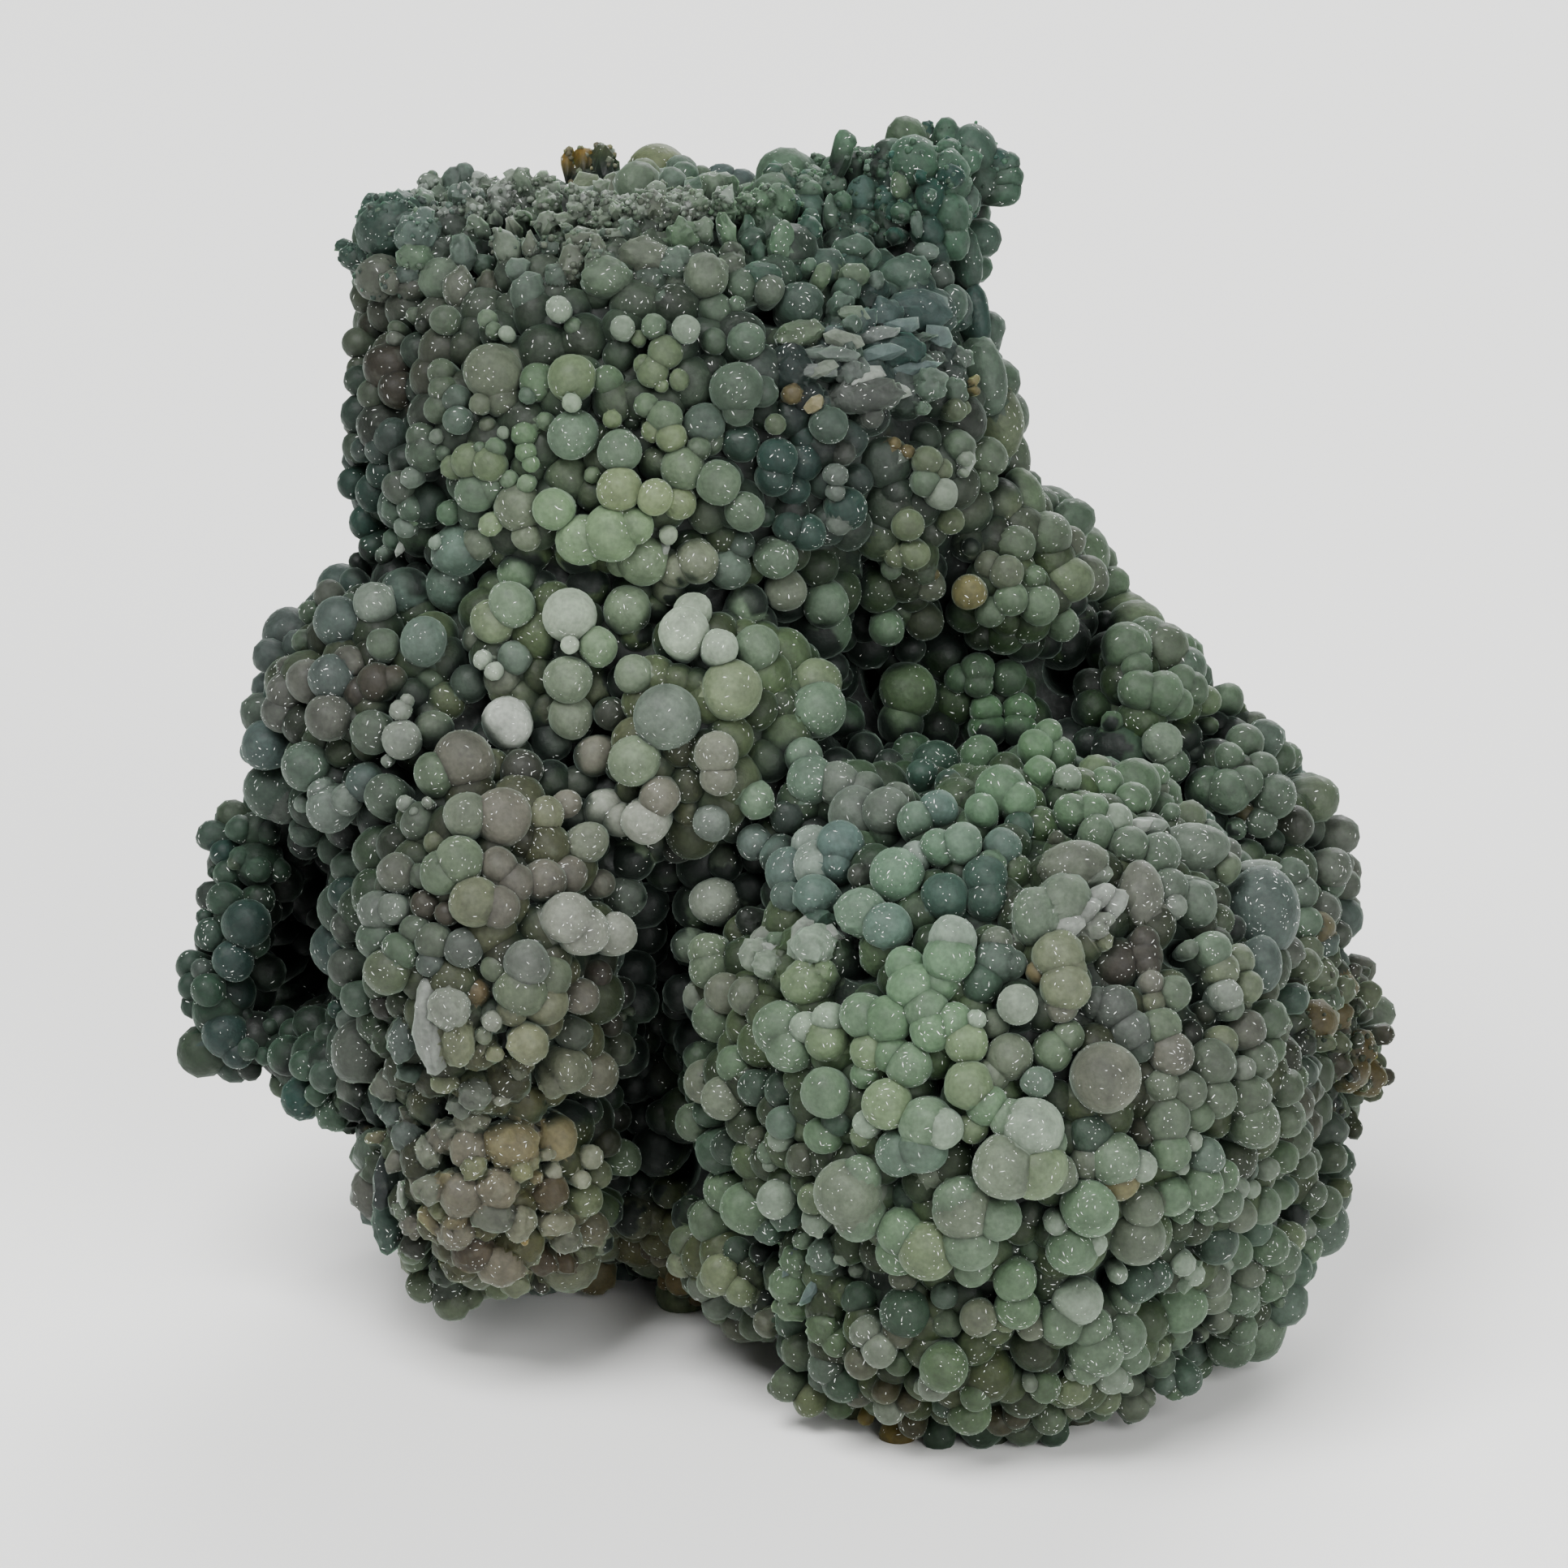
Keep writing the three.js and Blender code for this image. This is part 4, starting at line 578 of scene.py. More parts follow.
# How fast the unevenness of a ball changes over its skin.
WOBBLE_RATE = 1.7
GRAIN_WOBBLE = 0.14
# The slivers: how far they are lifted, how much longer and thicker they are than in their table,
# how far they lean and roll in degrees, how ragged they are, and their depth as a shade.
SLIVER_LIFTS = (0.3, 0.8)
SLIVER_LENGTH = 0.9
SLIVER_THICKNESS = 1.5
SLIVER_LEAN = 14
SLIVER_ROLL = 30
SLIVER_SIZES = (0.65, 1.25)
SLIVER_DEPTH = 0.3

# The rough skin ends at this share of its ellipse, squared, and fades out over the next before
# it. Its waves run at this rate, in so many layers, and stand so high and are let in so far, as
# shares of its depth.
ROUGH_EDGE = 1.25
ROUGH_FADE = 0.5
ROUGH_RATE = 1.1
ROUGH_LAYERS = 3
ROUGH_HEIGHT = 2.2
ROUGH_SINK = 1.2

# The grid that the rock is melted on, the block that cuts the flat, the most triangles of a
# piece, and how coarse the balls of the rear are.
CORE_GRID = 1.1
BLOCK_SIZE = 300.0
MOST_TRIANGLES = 195000
REAR_FINENESS = 0.52
# Edges up to these angles in degrees are shaded smooth.
BALL_ANGLE = 45
GRAIN_ANGLE = 75
SLIVER_ANGLE = 10
# Where the random numbers of each part start.
SEEDS = {
    "room": 7, "colours": 3, "grape_cluster": 11, "left_grapes": 15, "neck_grapes": 14,
    "rear_grapes": 12, "fine_grains": 13, "broken_slivers": 17, "sparkle_flakes": 21,
}

# How many flakes a square millimetre of each piece has.
FLAKES = {"grape_cluster": 2.0, "left_grapes": 1.9, "neck_grapes": 1.4, "rear_grapes": 0.7}
# They gather in clusters, which follow so many waves at this rate and strength.
CLUSTER_WAVES = 4
CLUSTER_RATE = 2.2
CLUSTER_STRENGTH = 0.8
CLUSTER_BOUNDS = (0.1, 3)
# They grow rare over this depth of a gap, and there are none so near the floor.
FLAKE_DEPTH = 1.5
FLAKE_FLOOR = 0.5
# This share of them is pulled into rings round the front of each ball, so strongly, and strays.
RING_SHARE = 0.6
RING_PULL = 2.5
RING_STRAY = 0.5
# The shortest, how much longer the longest are, how rare those are, and how the widths vary.
FLAKE_SHORTEST = 0.3
FLAKE_RANGE = 1.7
FLAKE_RARITY = 3
FLAKE_WIDTHS = (0.6, 1.3)

# The patterns of the materials: scale and detail of the noise, the range of it that is used, and
# the range that this becomes.
PATTERNS = {
    "cloud": (800, 3, 0.32, 0.68, 0.82, 1.18), "speckle": (3600, 3, 0.32, 0.68, 0.85, 1.15),
    "frost": (1300, 5, 0.58, 0.72, 0, 0.07), "wax gloss": (1500, 2, 0.3, 0.7, 0.5, 0.75),
    "glint gloss": (700, 2, 0.35, 0.65, 0.12, 0.4),
}
# The depths over which painted shade in the gaps turns green, then the rock's dark, and how much.
GAP_SHADE_DEPTHS = (0.1, 1.2, 0, 0.55)
DEEP_SHADE_DEPTHS = (0.6, 1.8, 0, 0.96)
# The bumps that are too fine for the mesh: scale and detail, strength and height.
BUMP_NOISE = (3000, 4)
BUMP_STRENGTH = 0.4
BUMP_HEIGHT = 0.16
# The rest of the wax, and the near-white colour of the flakes, which paints their glints.
WAX = {
    "Specular IOR Level": 0.25, "Subsurface Weight": 0.6, "Subsurface Radius": (1, 1.3, 1),
    "Subsurface Scale": MILLIMETRE, "Sheen Weight": 0.16, "Sheen Roughness": 0.35,
    "Sheen Tint": (0.72, 0.95, 0.8, 1),
}
GLINT_COLOUR = (0.9, 0.94, 0.9, 1)

# The stage, in metres: the floor, and each light's size and place.
FLOOR_SIZE = 6
FLOOR_ROUGHNESS = 0.7
LIGHTS = {
    "key": (0.5, (-0.25, -0.35, 0.75)), "fill": (0.6, (0.4, -0.7, 0.35)),
    "back": (0.6, (0.2, 0.75, 0.5)),
}
# The camera's sensor in millimetres, and how far it sees in metres.
SENSOR_WIDTH = 36
FURTHEST_SEEN = 20

# Balls above this height of the front are in the neck's own piece.
NECK_FOOT = 3.0
# Balls to the left of this are in the left lobe's piece.
LOBE_SPLIT = -5.0
GOLDEN_ANGLE = math.pi * (3 - math.sqrt(5))


def linear(red, green, blue):
    """A colour judged on a scale of 0 to 255, as the linear numbers of a shader."""
    shares = [channel / 255 for channel in (red, green, blue)]
    return tuple(
        share / 12.92 if share <= 0.04045 else ((share + 0.055) / 1.055) ** 2.4 for share in shares
    )


def tint_property(name, description, red, green, blue):
    """A colour that the user can change."""
    return bpy.props.FloatVectorProperty(
        name=name, description=description, subtype="COLOR", size=3, min=0, max=1,
        default=linear(red, green, blue),
    )


def length_property(name, description, millimetres):
    """A length that the user can change, kept in metres."""
    return bpy.props.FloatProperty(
        name=name, description=description, unit="LENGTH", default=millimetres * MILLIMETRE,
    )


class StoneSizes(bpy.types.PropertyGroup):
    """The sizes that the cluster grows by."""

    lift_step: length_property("Lift step", "How far one step of lift moves a ball out", 1.7)
    resting_lift: bpy.props.FloatProperty(
        name="Resting lift", description="The lift at which a ball's middle lies on its mass",
        default=0.35,
    )
    root_depth: length_property("Root depth", "How far a ball's root reaches past its lift", 1.4)
    core_inset: length_property("Core inset", "How far the rock lies behind the balls' middles", 1.1)
    wobble: bpy.props.FloatProperty(
        name="Wobble", description="How uneven a ball is, as a share of its radius",
        subtype="FACTOR", min=0, max=0.3, default=0.03,
    )
    fine_radius: length_property("Fine radius", "Balls from this radius on get a fine mesh", 0.85)
    finest_radius: length_property("Finest radius", "And from this one on the finest", 1.9)
    hidden_least: length_property("Least hidden ball", "Smallest ball on the hidden sides", 1.0)
    hidden_most: length_property("Largest hidden ball", "Largest ball on the hidden sides", 2.2)
    ground_radius: length_property("Ground ball", "Radius of the balls down between the others", 1.5)
    ground_sink: length_property("Ground sink", "How far the ground balls lie back", 1.1)
    crust_grain: length_property("Crust grain", "Typical radius of the fine grains", 0.18)
    sparkle_length: length_property("Sparkle length", "Typical length of a sparkling flake", 0.19)
    sparkle_width: length_property("Sparkle width", "Width of a sparkling flake", 0.045)


class StoneTints(bpy.types.PropertyGroup):
    """The colours that the balls have."""

    sage: tint_property("Sage", "Grey-green balls", 98, 114, 96)
    mint: tint_property("Mint", "Clear green balls", 96, 121, 93)
    teal: tint_property("Teal", "Dark blue-green balls", 34, 76, 66)
    ink: tint_property("Ink", "The darkest blue-green balls", 10, 34, 46)
    mauve: tint_property("Mauve", "Pinkish grey balls", 108, 106, 97)
    umber: tint_property("Umber", "Dark mauve-brown balls", 72, 66, 58)
    frost: tint_property("Frost", "White frosted balls", 152, 160, 150)
    snow: tint_property("Snow", "The whitest streaks and grains", 200, 206, 200)
    ash: tint_property("Ash", "Light grey grains", 118, 126, 114)
    slate: tint_property("Slate", "Blue-grey balls", 84, 100, 98)
    ochre: tint_property("Ochre", "Balls stained with rust", 134, 108, 54)
    beige: tint_property("Beige", "Yellowish grey balls", 128, 120, 88)
    brown: tint_property("Brown", "Brown balls", 70, 52, 38)
    moss: tint_property("Moss", "Dark brownish green balls", 58, 66, 40)
    # Partly the stone's own dark green and partly painted shade, for balls set down in the gaps.
    deep: tint_property("Deep green", "Dark green balls down in the gaps", 18, 44, 28)
    olive: tint_property("Olive", "Pale yellow-green balls", 118, 128, 96)
    # The green of the painted shade down between the balls.
    gap: tint_property("Gap", "The stone down between its balls", 24, 40, 26)
    # Also the near black that the painted shade turns to at the bottom of the gaps.
    core: tint_property("Core", "The rock at the bottom of the gaps", 4, 12, 8)
    strength: bpy.props.FloatProperty(
        name="Strength", description="How far the colours are drawn away from grey", default=1.2,
    )
    lightness: bpy.props.FloatProperty(
        name="Lightness", description="Scales the colours of all the balls", default=0.5,
    )


class StageSettings(bpy.types.PropertyGroup):
    """The floor, the lights and the camera."""

    floor_tint: tint_property("Floor", "The pale floor", 240, 240, 238)
    camera_distance: length_property("Camera distance", "From the stone's middle", 1073.3)
    camera_lens: bpy.props.FloatProperty(
        name="Lens", description="The camera's focal length in millimetres", default=400,
    )
    key_power: bpy.props.FloatProperty(
        name="Key light", description="Power of the light from above", unit="POWER", default=13,
    )
    fill_power: bpy.props.FloatProperty(
        name="Fill light", description="Power of the light from the front", unit="POWER", default=9,
    )
    back_power: bpy.props.FloatProperty(
        name="Back light", description="Power of the light from behind", unit="POWER", default=10,
    )
    sky_strength: bpy.props.FloatProperty(
        name="Sky", description="Brightness of the surroundings", default=0.2,
    )


TINT_NAMES = {
    "s": "sage", "g": "mint", "t": "teal", "m": "mauve", "w": "frost", "b": "slate", "a": "ochre",
    "n": "brown", "d": "deep", "y": "olive", "k": "ink", "u": "umber", "f": "ash", "o": "beige",
    "e": "moss", "x": "snow",
}

UPRIGHT = Matrix((
    (1, 0, 0, -MIDDLE_ACROSS),
    (0, math.sin(LOOK_DOWN), -math.cos(LOOK_DOWN), -MIDDLE_BACK),
    (0, math.cos(LOOK_DOWN), math.sin(LOOK_DOWN), -CUT_HEIGHT),
    (0, 0, 0, 1),
))
TURN = UPRIGHT.to_3x3()


class Ball:
    """One ball: its middle in the layout, its radius, the way it faces, its colour and its root.

    A ball may be longer than it is wide along an axis of the layout."""

    def __init__(self, middle, radius, way, colour, root, axis=Vector((0, 1, 0)), length=1):
        self.middle = middle
        self.radius = radius
        self.way = way
        self.colour = colour
        self.root = root
        self.axis = axis
        self.length = length


def long_shape(half_width, half_height, turn):
    """The radius, the long axis and the length of a lump, by its radius."""
    is_tall = half_height >= half_width
    angle = math.radians(turn if is_tall else turn - 90)
    axis = Vector((-math.sin(angle), math.cos(angle), 0))
    radius = min(half_width, half_height)
    return radius, axis, max(half_width, half_height) / radius


class Crowd:
    """The balls placed so far, kept in cells so that the near ones are quick to find."""

    cell_size = 4.5

    def __init__(self):
        self.cells = {}

    def cell_of(self, place):
        return tuple(math.floor(part / self.cell_size) for part in place)

    def add(self, ball):
        self.cells.setdefault(self.cell_of(ball.middle), []).append(ball)

    def is_clear(self, place, radius, closeness):
        """Whether a ball here would stay this share of the two radii away from every other."""
        near_x, near_y, near_z = self.cell_of(place)
        for x in range(near_x - 1, near_x + 2):
            for y in range(near_y - 1, near_y + 2):
                for z in range(near_z - 1, near_z + 2):
                    for other in self.cells.get((x, y, z), []):
                        reach = closeness * (radius + other.radius)
                        if (other.middle - place).length_squared < reach * reach:
                            return False
        return True


def clamped(share):
    """A number kept between 0 and 1."""
    return min(max(share, 0), 1)


def drawn_colour(tints, colour):
    """A tint drawn away from grey and scaled, as the settings say."""
    colour = np.array(colour)
    grey = colour.mean()
    return np.maximum(grey + (colour - grey) * tints.strength, 0) * tints.lightness


class Palette:
    """Finds a ball's colour from its own tint and from the part of the stone that it is on."""

    def __init__(self, tints, chance):
        self.colours = {
            key: drawn_colour(tints, getattr(tints, name)) for key, name in TINT_NAMES.items()
        }
        self.chance = chance

    def region(self, across, up):
        """The colour and the lightness of the stone's front round a place."""
        total = np.zeros(4)
        weights = 0
        for region_across, region_up, tint, lightness in REGIONS:
            apart = (across - region_across) ** 2 + (up - region_up) ** 2
            weight = math.exp(-apart / (2 * REGION_REACH ** 2)) + 1e-9
            total += np.array([*self.colours[tint], lightness]) * weight
            weights += weight
        return total[:3] / weights, total[3] / weights

    def front(self, tint, across, up, lightness, hue=REGION_HUE):
        """The colour of a ball of the front."""
        own = self.colours[tint]
        around, light = self.region(across, up)
        mixed = own * (1 - hue) + around * hue
        wanted = own.sum() ** (1 - REGION_LIGHT) * around.sum() ** REGION_LIGHT
        lightness *= light * self.chance.uniform(*FRONT_LIGHTS)
        return mixed * (wanted / mixed.sum()) * lightness

    def hidden(self, place):
        """The colour of a ball of the sides that the front doesn't show."""
        word = patch_of(place)
        patch = np.mean([self.colours[tint] for tint in word], axis=0)
        own = self.colours[self.chance.choice(word)]
        nearness = clamped((place.z + FRONT_REACH) / FRONT_FADE)
        front, light = self.region(place.x, place.y)
        around = patch + (front * light - patch) * nearness
        own = own * (1 + (min(light, 1) - 1) * nearness)
        mixed = own * OWN_SHARE + around * (1 - OWN_SHARE)
        return mixed * self.chance.uniform(*HIDDEN_LIGHTS)


def share_of(mass, place):
    """How far out a place lies in a mass, as a share of its radii squared: under 1 is inside."""
    return sum(((place[axis] - mass[axis]) / mass[axis + 3]) ** 2 for axis in range(3))


def facing(mass, place):
    """The way that a mass's surface faces at a place."""
    return Vector([(place[axis] - mass[axis]) / mass[axis + 3] ** 2 for axis in range(3)]).normalized()


def front_of(across, up):
    """The place where the masses reach furthest out, seen from the front, and the mass there."""
    front = -math.inf
    nearest = math.inf
    for mass in MASSES:
        share = ((across - mass[0]) / mass[3]) ** 2 + ((up - mass[1]) / mass[4]) ** 2
        out = mass[2] + mass[5] * math.sqrt(max(0, 1 - share))
        if share < EDGE_SHARE and out > front:
            front = out
            chosen = mass
        if share < nearest:
            nearest = share
            beside = mass
    if front == -math.inf:
        return Vector((across, up, beside[2])), beside
    return Vector((across, up, front)), chosen


def in_pit(across, up, margin):
    """Whether a place of the front lies in one of the dark pits."""
    return any(
        ((across - x) / (half_width + margin)) ** 2 + ((up - y) / (half_height + margin)) ** 2 < 1
        for x, y, half_width, half_height, depth in PITS
    )


def in_bowl(place):
    """Whether a place lies in the bowl at the top."""
    return share_of(BOWL, place) < 1


def standing(mass, place, rise):
    """The way that a ball of the front stands: off its mass, and more to the front if it is high."""
    lean = Vector((0, 0, LEAN_OUT + RISE_LEAN * max(0, rise)))
    return (facing(mass, place) + lean).normalized()


def front_balls(sizes, palette):
    """The balls that are seen from the front, each where the table puts it."""
    lift_step = sizes.lift_step / MILLIMETRE
    root_depth = sizes.root_depth / MILLIMETRE
    for *tenths, tint in LUMPS:
        across, up, radius, lift = (number / 10 for number in tenths)
        middle, mass = front_of(across, up)
        rise = lift_step * (lift - sizes.resting_lift)
        way = standing(mass, middle, rise)
        middle.z += rise
        # Painted light and shade: a ball that stands out is lighter, one that lies low darker.
        light = FRONT_LIGHT + LIFT_PAINTED_LIGHT * (lift - MIDDLING_LIFT)
        colour = palette.front(tint, across, up, light)
        yield Ball(middle, radius, way, colour, root_depth + max(0, rise))


def front_drops(sizes, palette):
    """The long lumps that are seen from the front."""
    lift_step = sizes.lift_step / MILLIMETRE
    root_depth = sizes.root_depth / MILLIMETRE
    for *tenths, turn, tint in DROPS:
        across, up, half_width, half_height, lift = (number / 10 for number in tenths)
        radius, axis, length = long_shape(half_width, half_height, turn)
        middle, mass = front_of(across, up)
        rise = lift_step * (lift - sizes.resting_lift)
        way = standing(mass, middle, rise)
        middle.z += rise
        colour = palette.front(tint, across, up, 1)
        yield Ball(middle, radius, way, colour, root_depth + max(0, rise), axis, length)


def ridge_balls(sizes, palette):
    """The lumps that stand on the ridge behind the bowl."""
    root_depth = sizes.root_depth / MILLIMETRE
    for across, up, out, half_width, half_height, tint in RIDGE:
        radius, axis, length = long_shape(half_width, half_height, 0)
        colour = palette.colours[tint] * RIDGE_LIGHT
        yield Ball(Vector((across, up, out)), radius, RIDGE_WAY, colour, root_depth, axis, length)


def ground_places(spacing):
    """Evenly spread places on the masses' fronts, in rows that are half a step apart."""
    row = 0
    up = -FIELD_UP
    while up < FIELD_UP:
        across = -FIELD_ACROSS + (row % 2) * spacing / 2
        while across < FIELD_ACROSS:
            yield across, up
            across += spacing
        up += spacing * math.sqrt(0.75)
        row += 1


def ground_balls(sizes, crowd, palette, chance):
    """The front's balls down between the others, darker by own colour and by painted shade."""
    radius = sizes.ground_radius / MILLIMETRE
    sink = sizes.ground_sink / MILLIMETRE
    root_depth = sizes.root_depth / MILLIMETRE
    for across, up in ground_places(GROUND_SPACING * radius):
        across += chance.uniform(-GROUND_STRAY, GROUND_STRAY)
        up += chance.uniform(-GROUND_STRAY, GROUND_STRAY)
        own_radius = radius * chance.uniform(*GROUND_SIZES)
        tint = chance.choice(GROUND_TINTS)
        place, mass = front_of(across, up)
        is_off = share_of(mass, place) > GROUND_EDGE
        if is_off or in_pit(across, up, PIT_MARGIN) or in_bowl(place):
            continue
        way = facing(mass, place)
        middle = place - way * sink
        if crowd.is_clear(middle, own_radius, GROUND_CLOSENESS):
            colour = palette.front(tint, across, up, GROUND_LIGHT, GROUND_HUE)
            if up < WARM_BELOW:
                colour = colour * GROUND_WARMTH
            yield Ball(middle, own_radius, way, colour, root_depth)


def patch_of(place):
    """The kind of patch that a hidden place lies in."""
    across, up, out = (part / PATCH_SIZE * rate for part, rate in zip(place, PATCH_RATES))
    first, second, third = PATCH_STARTS
    wave = math.sin(across + first) + math.sin(up + second)
    wave += math.sin(out + place.x / PATCH_SIZE + third)
    return PATCHES[int((wave + 3) / 6 * len(PATCHES)) % len(PATCHES)]


def hidden_places(mass, spacing):
    """Places spread evenly over a whole mass, turn by turn of the golden angle."""
    half_width, half_height, half_depth = mass[3:]
    mean_square = (
        half_width * half_height + half_height * half_depth + half_width * half_depth
    ) / 3
    count = round(4 * math.pi * mean_square / spacing ** 2)
    for index in range(count):
        height = 1 - 2 * (index + 0.5) / count
        ring = math.sqrt(1 - height * height)
        angle = index * GOLDEN_ANGLE
        way = (ring * math.cos(angle), ring * math.sin(angle), height)
        yield Vector([mass[axis] + mass[axis + 3] * way[axis] for axis in range(3)])


def hidden_balls(sizes, crowd, palette, chance):
    """The balls of the sides that the front doesn't show."""
    least = sizes.hidden_least / MILLIMETRE
    most = sizes.hidden_most / MILLIMETRE
    root_depth = sizes.root_depth / MILLIMETRE
    for mass in MASSES:
        others = [other for other in MASSES if other is not mass]
        for place in hidden_places(mass, HIDDEN_SPACING):
            radius = least + (most - least) * chance.random() ** HIDDEN_RARITY
            lift = chance.uniform(*HIDDEN_LIFTS)
            way = facing(mass, place)
            front = front_of(place.x, place.y)[0]
            is_seen = way.z > SEEN_FACING and place.z > front.z - SEEN_DEPTH
            if is_seen or in_bowl(place):
                continue
            if any(share_of(other, place) < INSIDE_SHARE for other in others):
                continue
            if (UPRIGHT @ place).z < -radius:
                continue
            middle = place + way * lift
            if crowd.is_clear(middle, radius, HIDDEN_CLOSENESS):
                yield Ball(middle, radius, way, palette.hidden(place), root_depth + max(0, lift))


def crust_lumps(sizes, palette, chance):
    """The lumps that the broken rim and the other crusts are built of."""
    root_depth = sizes.root_depth / MILLIMETRE
    for across, up, half_width, half_height, count, density, word in CRUSTS:
        for index in range(count):
            angle = chance.uniform(0, math.tau)
            reach = math.sqrt(chance.random())
            place_across = across + half_width * reach * math.cos(angle)
            place_up = up + half_height * reach * math.sin(angle)
            middle, mass = front_of(place_across, place_up)
            way = facing(mass, middle)
            middle += way * chance.uniform(*CRUST_LIFTS)
            colour = palette.front(chance.choice(word), place_across, place_up, CRUST_LIGHT)
            yield Ball(middle, chance.uniform(*CRUST_SIZES), way, colour, root_depth)


def crust_grains(sizes, front, palette, chance):
    """The fine grains on every ball and lump inside a crust."""
    grain = sizes.crust_grain / MILLIMETRE
    for across, up, half_width, half_height, count, density, word in CRUSTS:
        for ball in front:
            beside = (ball.middle.x - across) / half_width
            above = (ball.middle.y - up) / half_height
            if beside ** 2 + above ** 2 > 1:
                continue
            for index in range(round(GRAIN_COUNT * density * ball.radius ** 2)):
                way = Vector([chance.gauss(0, 1) for axis in range(3)]).normalized()
                if way.dot(ball.way) < GRAIN_BEHIND and way.z < GRAIN_FACING:
                    continue
                tint = chance.choice(word)
                light = chance.uniform(*GRAIN_LIGHTS)
                colour = palette.front(tint, ball.middle.x, ball.middle.y, light)
                radius = grain * chance.uniform(*GRAIN_SIZES)
                reach = way + ball.axis * (way.dot(ball.axis) * (ball.length - 1))
                middle = ball.middle + reach * (ball.radius - GRAIN_SINK * radius)
                yield Ball(middle, radius, way, colour, radius)


class Hollows:
    """Tells how open a place is, so that balls down in a hollow can be given painted shade."""

    rays = 24
    reach = 30
    # The ways out stand at least so high over the ball's own skin, and start this far off it.
    lowest = 0.08
    clearance = 1

    def __init__(self, shape):
        count = len(shape.corners)
        corners = np.concatenate([shape.ellipsoid(mass, 0) for mass in MASSES])
        faces = np.concatenate([shape.faces + index * count for index in range(len(MASSES))])
        self.tree = bvhtree.BVHTree.FromPolygons(corners.tolist(), faces.tolist())
        self.ways = []
        for index in range(self.rays):
            height = self.lowest + (1 - self.lowest) * (index + 0.5) / self.rays
            ring = math.sqrt(1 - height * height)
            angle = index * GOLDEN_ANGLE
            self.ways.append(Vector((ring * math.cos(angle), ring * math.sin(angle), height)))

    def openness(self, ball):
        """The share of the ways out of a ball that meet no other mass."""
        outward = TURN @ ball.way
        turn = outward.to_track_quat("Z", "X")
        start = UPRIGHT @ ball.middle + outward * (ball.radius + self.clearance)
        free = sum(
            self.tree.ray_cast(start, turn @ way, self.reach)[0] is None for way in self.ways
        )
        return free / self.rays


def paint_hollow_shade(balls, shape):
    """Paints shade on the balls down in the hollows between the masses, greener where it is darkest."""
    hollows = Hollows(shape)
    for ball in balls:
        share = clamped((hollows.openness(ball) - HOLLOW_OPENNESS) / HOLLOW_RANGE)
        light = HOLLOW_LIGHT + (1 - HOLLOW_LIGHT) * share
        ball.colour = ball.colour * light * (1 - HOLLOW_SHADE_LOSS * (1 - share))


def deselect():
    """Leaves nothing selected, since operators act on all that is."""
    bpy.ops.object.select_all(action="DESELECT")


def make_active(piece):
    """Selects one piece alone."""
    deselect()
    piece.select_set(True)
    bpy.context.view_layer.objects.active = piece


class RoundShape:
    """A round mesh of radius 1 that balls and masses are copied from."""

    def __init__(self, subdivisions):
        deselect()
        bpy.ops.mesh.primitive_ico_sphere_add(subdivisions=subdivisions, radius=1, calc_uvs=False)
        ball = bpy.context.object
        self.mesh = ball.data
        self.corners = rows_of(self.mesh.vertices, "co")
        self.faces = corner_indices(self.mesh)
        bpy.data.objects.remove(ball)

    def ellipsoid(self, mass, inset):
        """The corners of a mass of the layout, stood upright and taken in by the inset."""
        stretch = Matrix.Diagonal([half - inset for half in mass[3:]]).to_4x4()
        place = UPRIGHT @ Matrix.Translation(mass[:3]) @ stretch
        return self.corners @ np.array(place.to_3x3()).T + np.array(place.translation)

    def ball(self, ball, wobble, chance):
        """The corners of a slightly uneven ball with a root that reaches into the rock."""
        way = np.array(TURN @ ball.way)
        rise = self.corners @ way
        swing = np.array([[chance.gauss(0, WOBBLE_RATE) for axis in range(3)] for wave in range(3)])
        waves = np.sin(self.corners @ swing.T + chance.uniform(0, math.tau)).sum(axis=1)
        radius = ball.radius * (1 + wobble * waves)
        axis = np.array(TURN @ ball.axis)
        stretched = self.corners + np.outer(self.corners @ axis, axis) * (ball.length - 1)
        root = np.outer(np.minimum(rise, 0) * ball.root, way)
        return stretched * radius[:, None] + root + np.array(UPRIGHT @ ball.middle)

    def sliver(self, shard, chance):
        """The corners of a broken sliver that lies on the front of the masses."""
        across, up, half_length, half_width, turn, tint = shard
        middle, mass = front_of(across, up)
        middle.z += chance.uniform(*SLIVER_LIFTS)
        halves = (half_length * SLIVER_LENGTH, half_width * SLIVER_THICKNESS, half_width)
        stretch = Matrix.Diagonal(halves).to_4x4()
        lean = Matrix.Rotation(math.radians(chance.uniform(-SLIVER_LEAN, SLIVER_LEAN)), 4, "Y")
        roll = Matrix.Rotation(math.radians(chance.uniform(-SLIVER_ROLL, SLIVER_ROLL)), 4, "X")
        turned = Matrix.Rotation(math.radians(turn), 4, "Z")
        place = UPRIGHT @ Matrix.Translation(middle) @ turned @ lean @ roll @ stretch
        rough = np.array([chance.uniform(*SLIVER_SIZES) for corner in self.corners])
        corners = self.corners * rough[:, None]
        return corners @ np.array(place.to_3x3()).T + np.array(place.translation)


def joined(name, shape, copies):
    """One object from many moved copies of a round shape."""
    count = len(shape.corners)
    corners = np.concatenate(copies)
    faces = np.concatenate([shape.faces + index * count for index in range(len(copies))])
    mesh = bpy.data.meshes.new(name)
    mesh.from_pydata(corners, [], faces)
    piece = bpy.data.objects.new(name, mesh)
    bpy.context.scene.collection.objects.link(piece)
    return piece


def apply_modifier(piece, kind, name, **settings):
    """Adds a modifier with its settings and applies it."""
    modifier = piece.modifiers.new(name, kind)
    for setting, value in settings.items():
        setattr(modifier, setting, value)
    make_active(piece)
    bpy.ops.object.modifier_apply(modifier=name)


def carve(piece, tool):
    """Cuts a tool's shape out of a piece."""
    apply_modifier(piece, "BOOLEAN", "carving", operation="DIFFERENCE", solver="MANIFOLD", object=tool)
    bpy.data.meshes.remove(tool.data)


